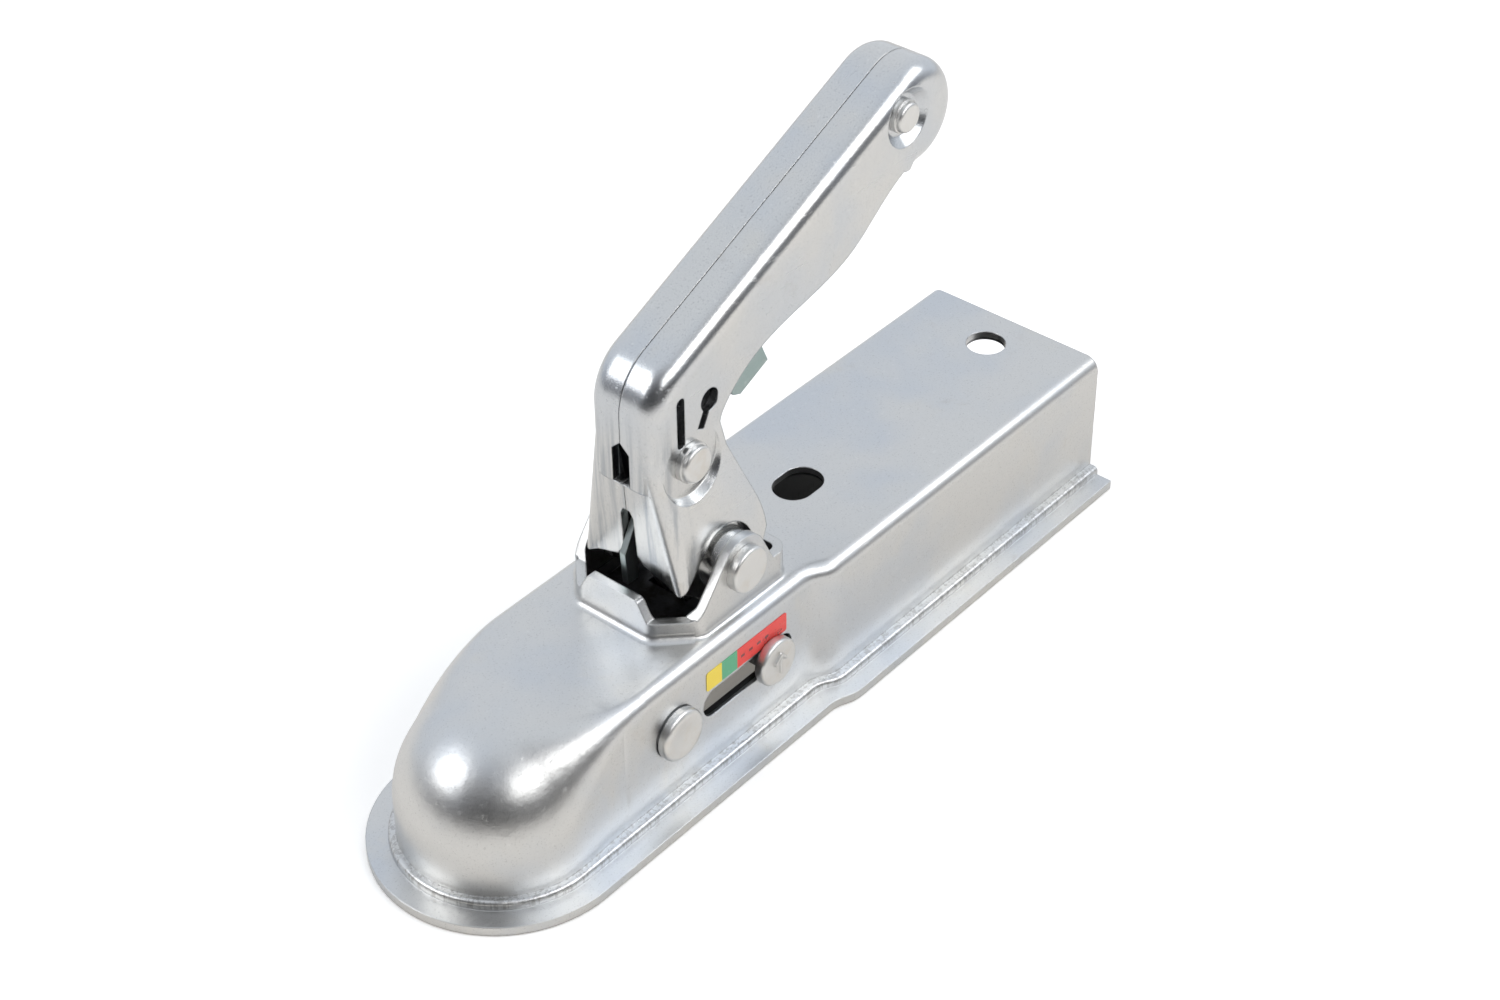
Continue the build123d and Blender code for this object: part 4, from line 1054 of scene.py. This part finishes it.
@dataclass
class Studio:
    """Pale floor, soft lamps and the photograph's camera."""

    floor_size: float = 6.0
    floor_at: Place = (0.1, 0.0, -0.0004)
    paper: Colour = (0.93, 0.885, 0.825)
    paper_seen: Colour = (0.95, 0.95, 0.95)
    glow: Colour = (0.0, 0.0, 0.0)
    glow_seen: Colour = (0.20, 0.19, 0.17)
    white: Colour = (1.0, 1.0, 1.0)
    pale_side: Place = (0.60, 0.53, 0.60)
    surround: tuple[tuple[float, Colour], ...] = (
        (0.0, (0.06, 0.06, 0.06)),
        (0.30, (0.07, 0.07, 0.075)),
        (0.52, (0.36, 0.37, 0.40)),
        (0.74, (0.80, 0.85, 0.92)),
        (1.0, (0.88, 0.92, 0.98)),
    )
    lamps: tuple[Lamp, ...] = (
        Lamp("left", (-0.92, 0.60, 0.90), (0.8, 0.7), 5.4),
        Lamp("right", (0.57, -0.85, 1.02), (1.3, 0.6), 7.2),
        Lamp("front", (-0.26, -1.12, 1.05), (0.8, 0.6), 4.2),
    )
    camera_mm: Place = (-390.958, -420.980, 563.845)
    right: Place = (0.642149, -0.766552, -0.006501)
    up: Place = (0.475605, 0.391740, 0.787616)
    back: Place = (-0.601202, -0.508859, 0.616132)
    focal_px: float = 2835.38
    frame_px: float = 1500.0
    sensor_mm: float = 36.0
    clip: tuple[float, float] = (0.01, 20.0)

    def floor(self) -> None:
        """A flat pale floor that is white to the camera and keeps the shadow."""
        half = self.floor_size / 2
        mesh = bpy.data.meshes.new("floor")
        corners = [(-half, -half, 0), (half, -half, 0), (half, half, 0), (-half, half, 0)]
        mesh.from_pydata(corners, [], [(0, 1, 2, 3)])
        plane = bpy.data.objects.new("floor", mesh)
        plane.location = self.floor_at
        bpy.context.scene.collection.objects.link(plane)
        g = Graph("floor_paper")
        seen = g.node("ShaderNodeLightPath").outputs["Is Camera Ray"]
        tone, lift = g.blend(seen, self.paper, self.paper_seen), g.blend(seen, self.glow, self.glow_seen)
        mesh.materials.append(
            g.surface(Base_Color=tone, Roughness=0.9, Emission_Color=lift, Emission_Strength=1.0)
        )

    def world(self) -> None:
        """Soft surround: pale behind the object, dark on the camera's side, white to the camera itself."""
        world = bpy.data.worlds.new("surround")
        world.use_nodes = True
        n = Nodes(world.node_tree)
        outward = n.node("ShaderNodeTexCoord").outputs["Generated"]
        facing = n.node("ShaderNodeVectorMath", {"operation": "DOT_PRODUCT"}, {0: outward, 1: self.pale_side})
        spread = n.node("ShaderNodeMapRange", None, {0: facing.outputs["Value"], 1: -1.0})
        ramp = n.node("ShaderNodeValToRGB", {"stops": self.surround}, {0: spread.outputs[0]})
        seen = n.node("ShaderNodeLightPath").outputs["Is Camera Ray"]
        back = n.node("ShaderNodeBackground", None, {0: n.blend(seen, ramp.outputs[0], self.white)})
        n.node("ShaderNodeOutputWorld", None, {0: back.outputs[0]})
        bpy.context.scene.world = world

    def camera(self) -> None:
        """The camera that fits the photograph."""
        data = bpy.data.cameras.new("photo_camera")
        data.sensor_width = self.sensor_mm
        data.lens = self.focal_px / self.frame_px * self.sensor_mm
        data.clip_start, data.clip_end = self.clip
        camera = bpy.data.objects.new("photo_camera", data)
        turn = Matrix((self.right, self.up, self.back)).transposed()
        camera.matrix_world = Matrix.Translation(Vector(self.camera_mm) * MM) @ turn.to_4x4()
        bpy.context.scene.collection.objects.link(camera)
        bpy.context.scene.camera = camera

    def build(self) -> None:
        """Set the whole stage."""
        self.floor()
        self.world()
        self.camera()
        for lamp in self.lamps:
            lamp.build()
        bpy.context.scene.view_settings.view_transform = "Standard"
        LOG.info("set the stage")


def groups(nodes: dict[str, bpy.types.Object]) -> list[Assembly]:
    """The CAD nodes by the finish they share.

    Args:
        nodes: the CAD nodes' objects by name.

    Returns:
        The groups, in the order they are dressed.
    """
    pins = ("pivot_pin", "jaw_pin", "indicator_pin", "catch_rivet", "tip_rivet")
    inner_works = (
        "tip_spacer",
        "pivot_spacer_near",
        "pivot_spacer_far",
        "jaw_spacer_near",
        "jaw_spacer_far",
        "drive_plate_near",
        "drive_plate_far",
        "lock_slider",
        "spring_seat",
    )
    # the housing's finish: tool marks on the foot and painted shade inside the channel
    housing = ZincSheet("zinc_housing", over=(FootHatch(), PaintedInnerShade()))
    handle = ZincSheet("zinc_handle", roughness=0.23, pebble_mm=0.024, over=(NeckStreaks(),))
    plate = ZincSheet("zinc_plate", base=(0.40, 0.45, 0.445), blue=(0.30, 0.39, 0.385), edge_mm=0.4)
    return [
        Assembly(nodes, ("housing_shell",), housing),
        Assembly(nodes, ("handle_half_near", "handle_half_far"), handle),
        Assembly(nodes, pins, PlatedPin("plated_pin")),
        Assembly(nodes, ("catch_plate", "catch_trigger"), plate),
        Assembly(nodes, inner_works, DarkSteel("dark_steel")),
        Assembly(nodes, ("main_spring", "catch_spring"), DarkSteel("spring_wire", roughness=0.34)),
        Assembly(nodes, ("jaw",), DarkSteel("cast_jaw", cast_mm=0.05)),
        Assembly(nodes, ("indicator_label",), LabelFilm()),
    ]


def main() -> None:
    """Load the frame, dress every piece and set the stage."""
    logging.basicConfig(level=logging.INFO)
    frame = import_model()
    nodes = frame["nodes"]
    for group in groups(nodes):
        group.build()
    head = PlatedPin("pin_head").make()
    HeadCap("jaw_pin", Part.HOUSING, head, widen=1.08, dish_mm=0.5, crest_mm=0.62).build()
    HeadCap(
        "indicator_pin",
        Part.SLIDER,
        head,
        crest_share=0.86,
        dish_mm=0.15,
        crest_mm=0.45,
        roll_mm=1.1,
        ridge_mm=0.8,
        dish_rings=40,
        spokes=160,
    ).build()
    # painted shade: near-black steel for the sheet that stands for the shade seen through the keyhole
    keyhole_shade = DarkSteel("keyhole_shade_steel", base=(0.03, 0.03, 0.032), grease=(0.015, 0.015, 0.015))
    KeyholeShadeSheet().build(keyhole_shade.make())
    coil, shell = nodes["main_spring"], nodes["housing_shell"]
    StretchingSpring().build(coil, coil.data.materials[0])
    CollarRoot().build(shell.data.materials[0])
    FlowingNose().build(shell, shell.data.materials[0])
    Studio().build()


if __name__ == "__main__":
    main()
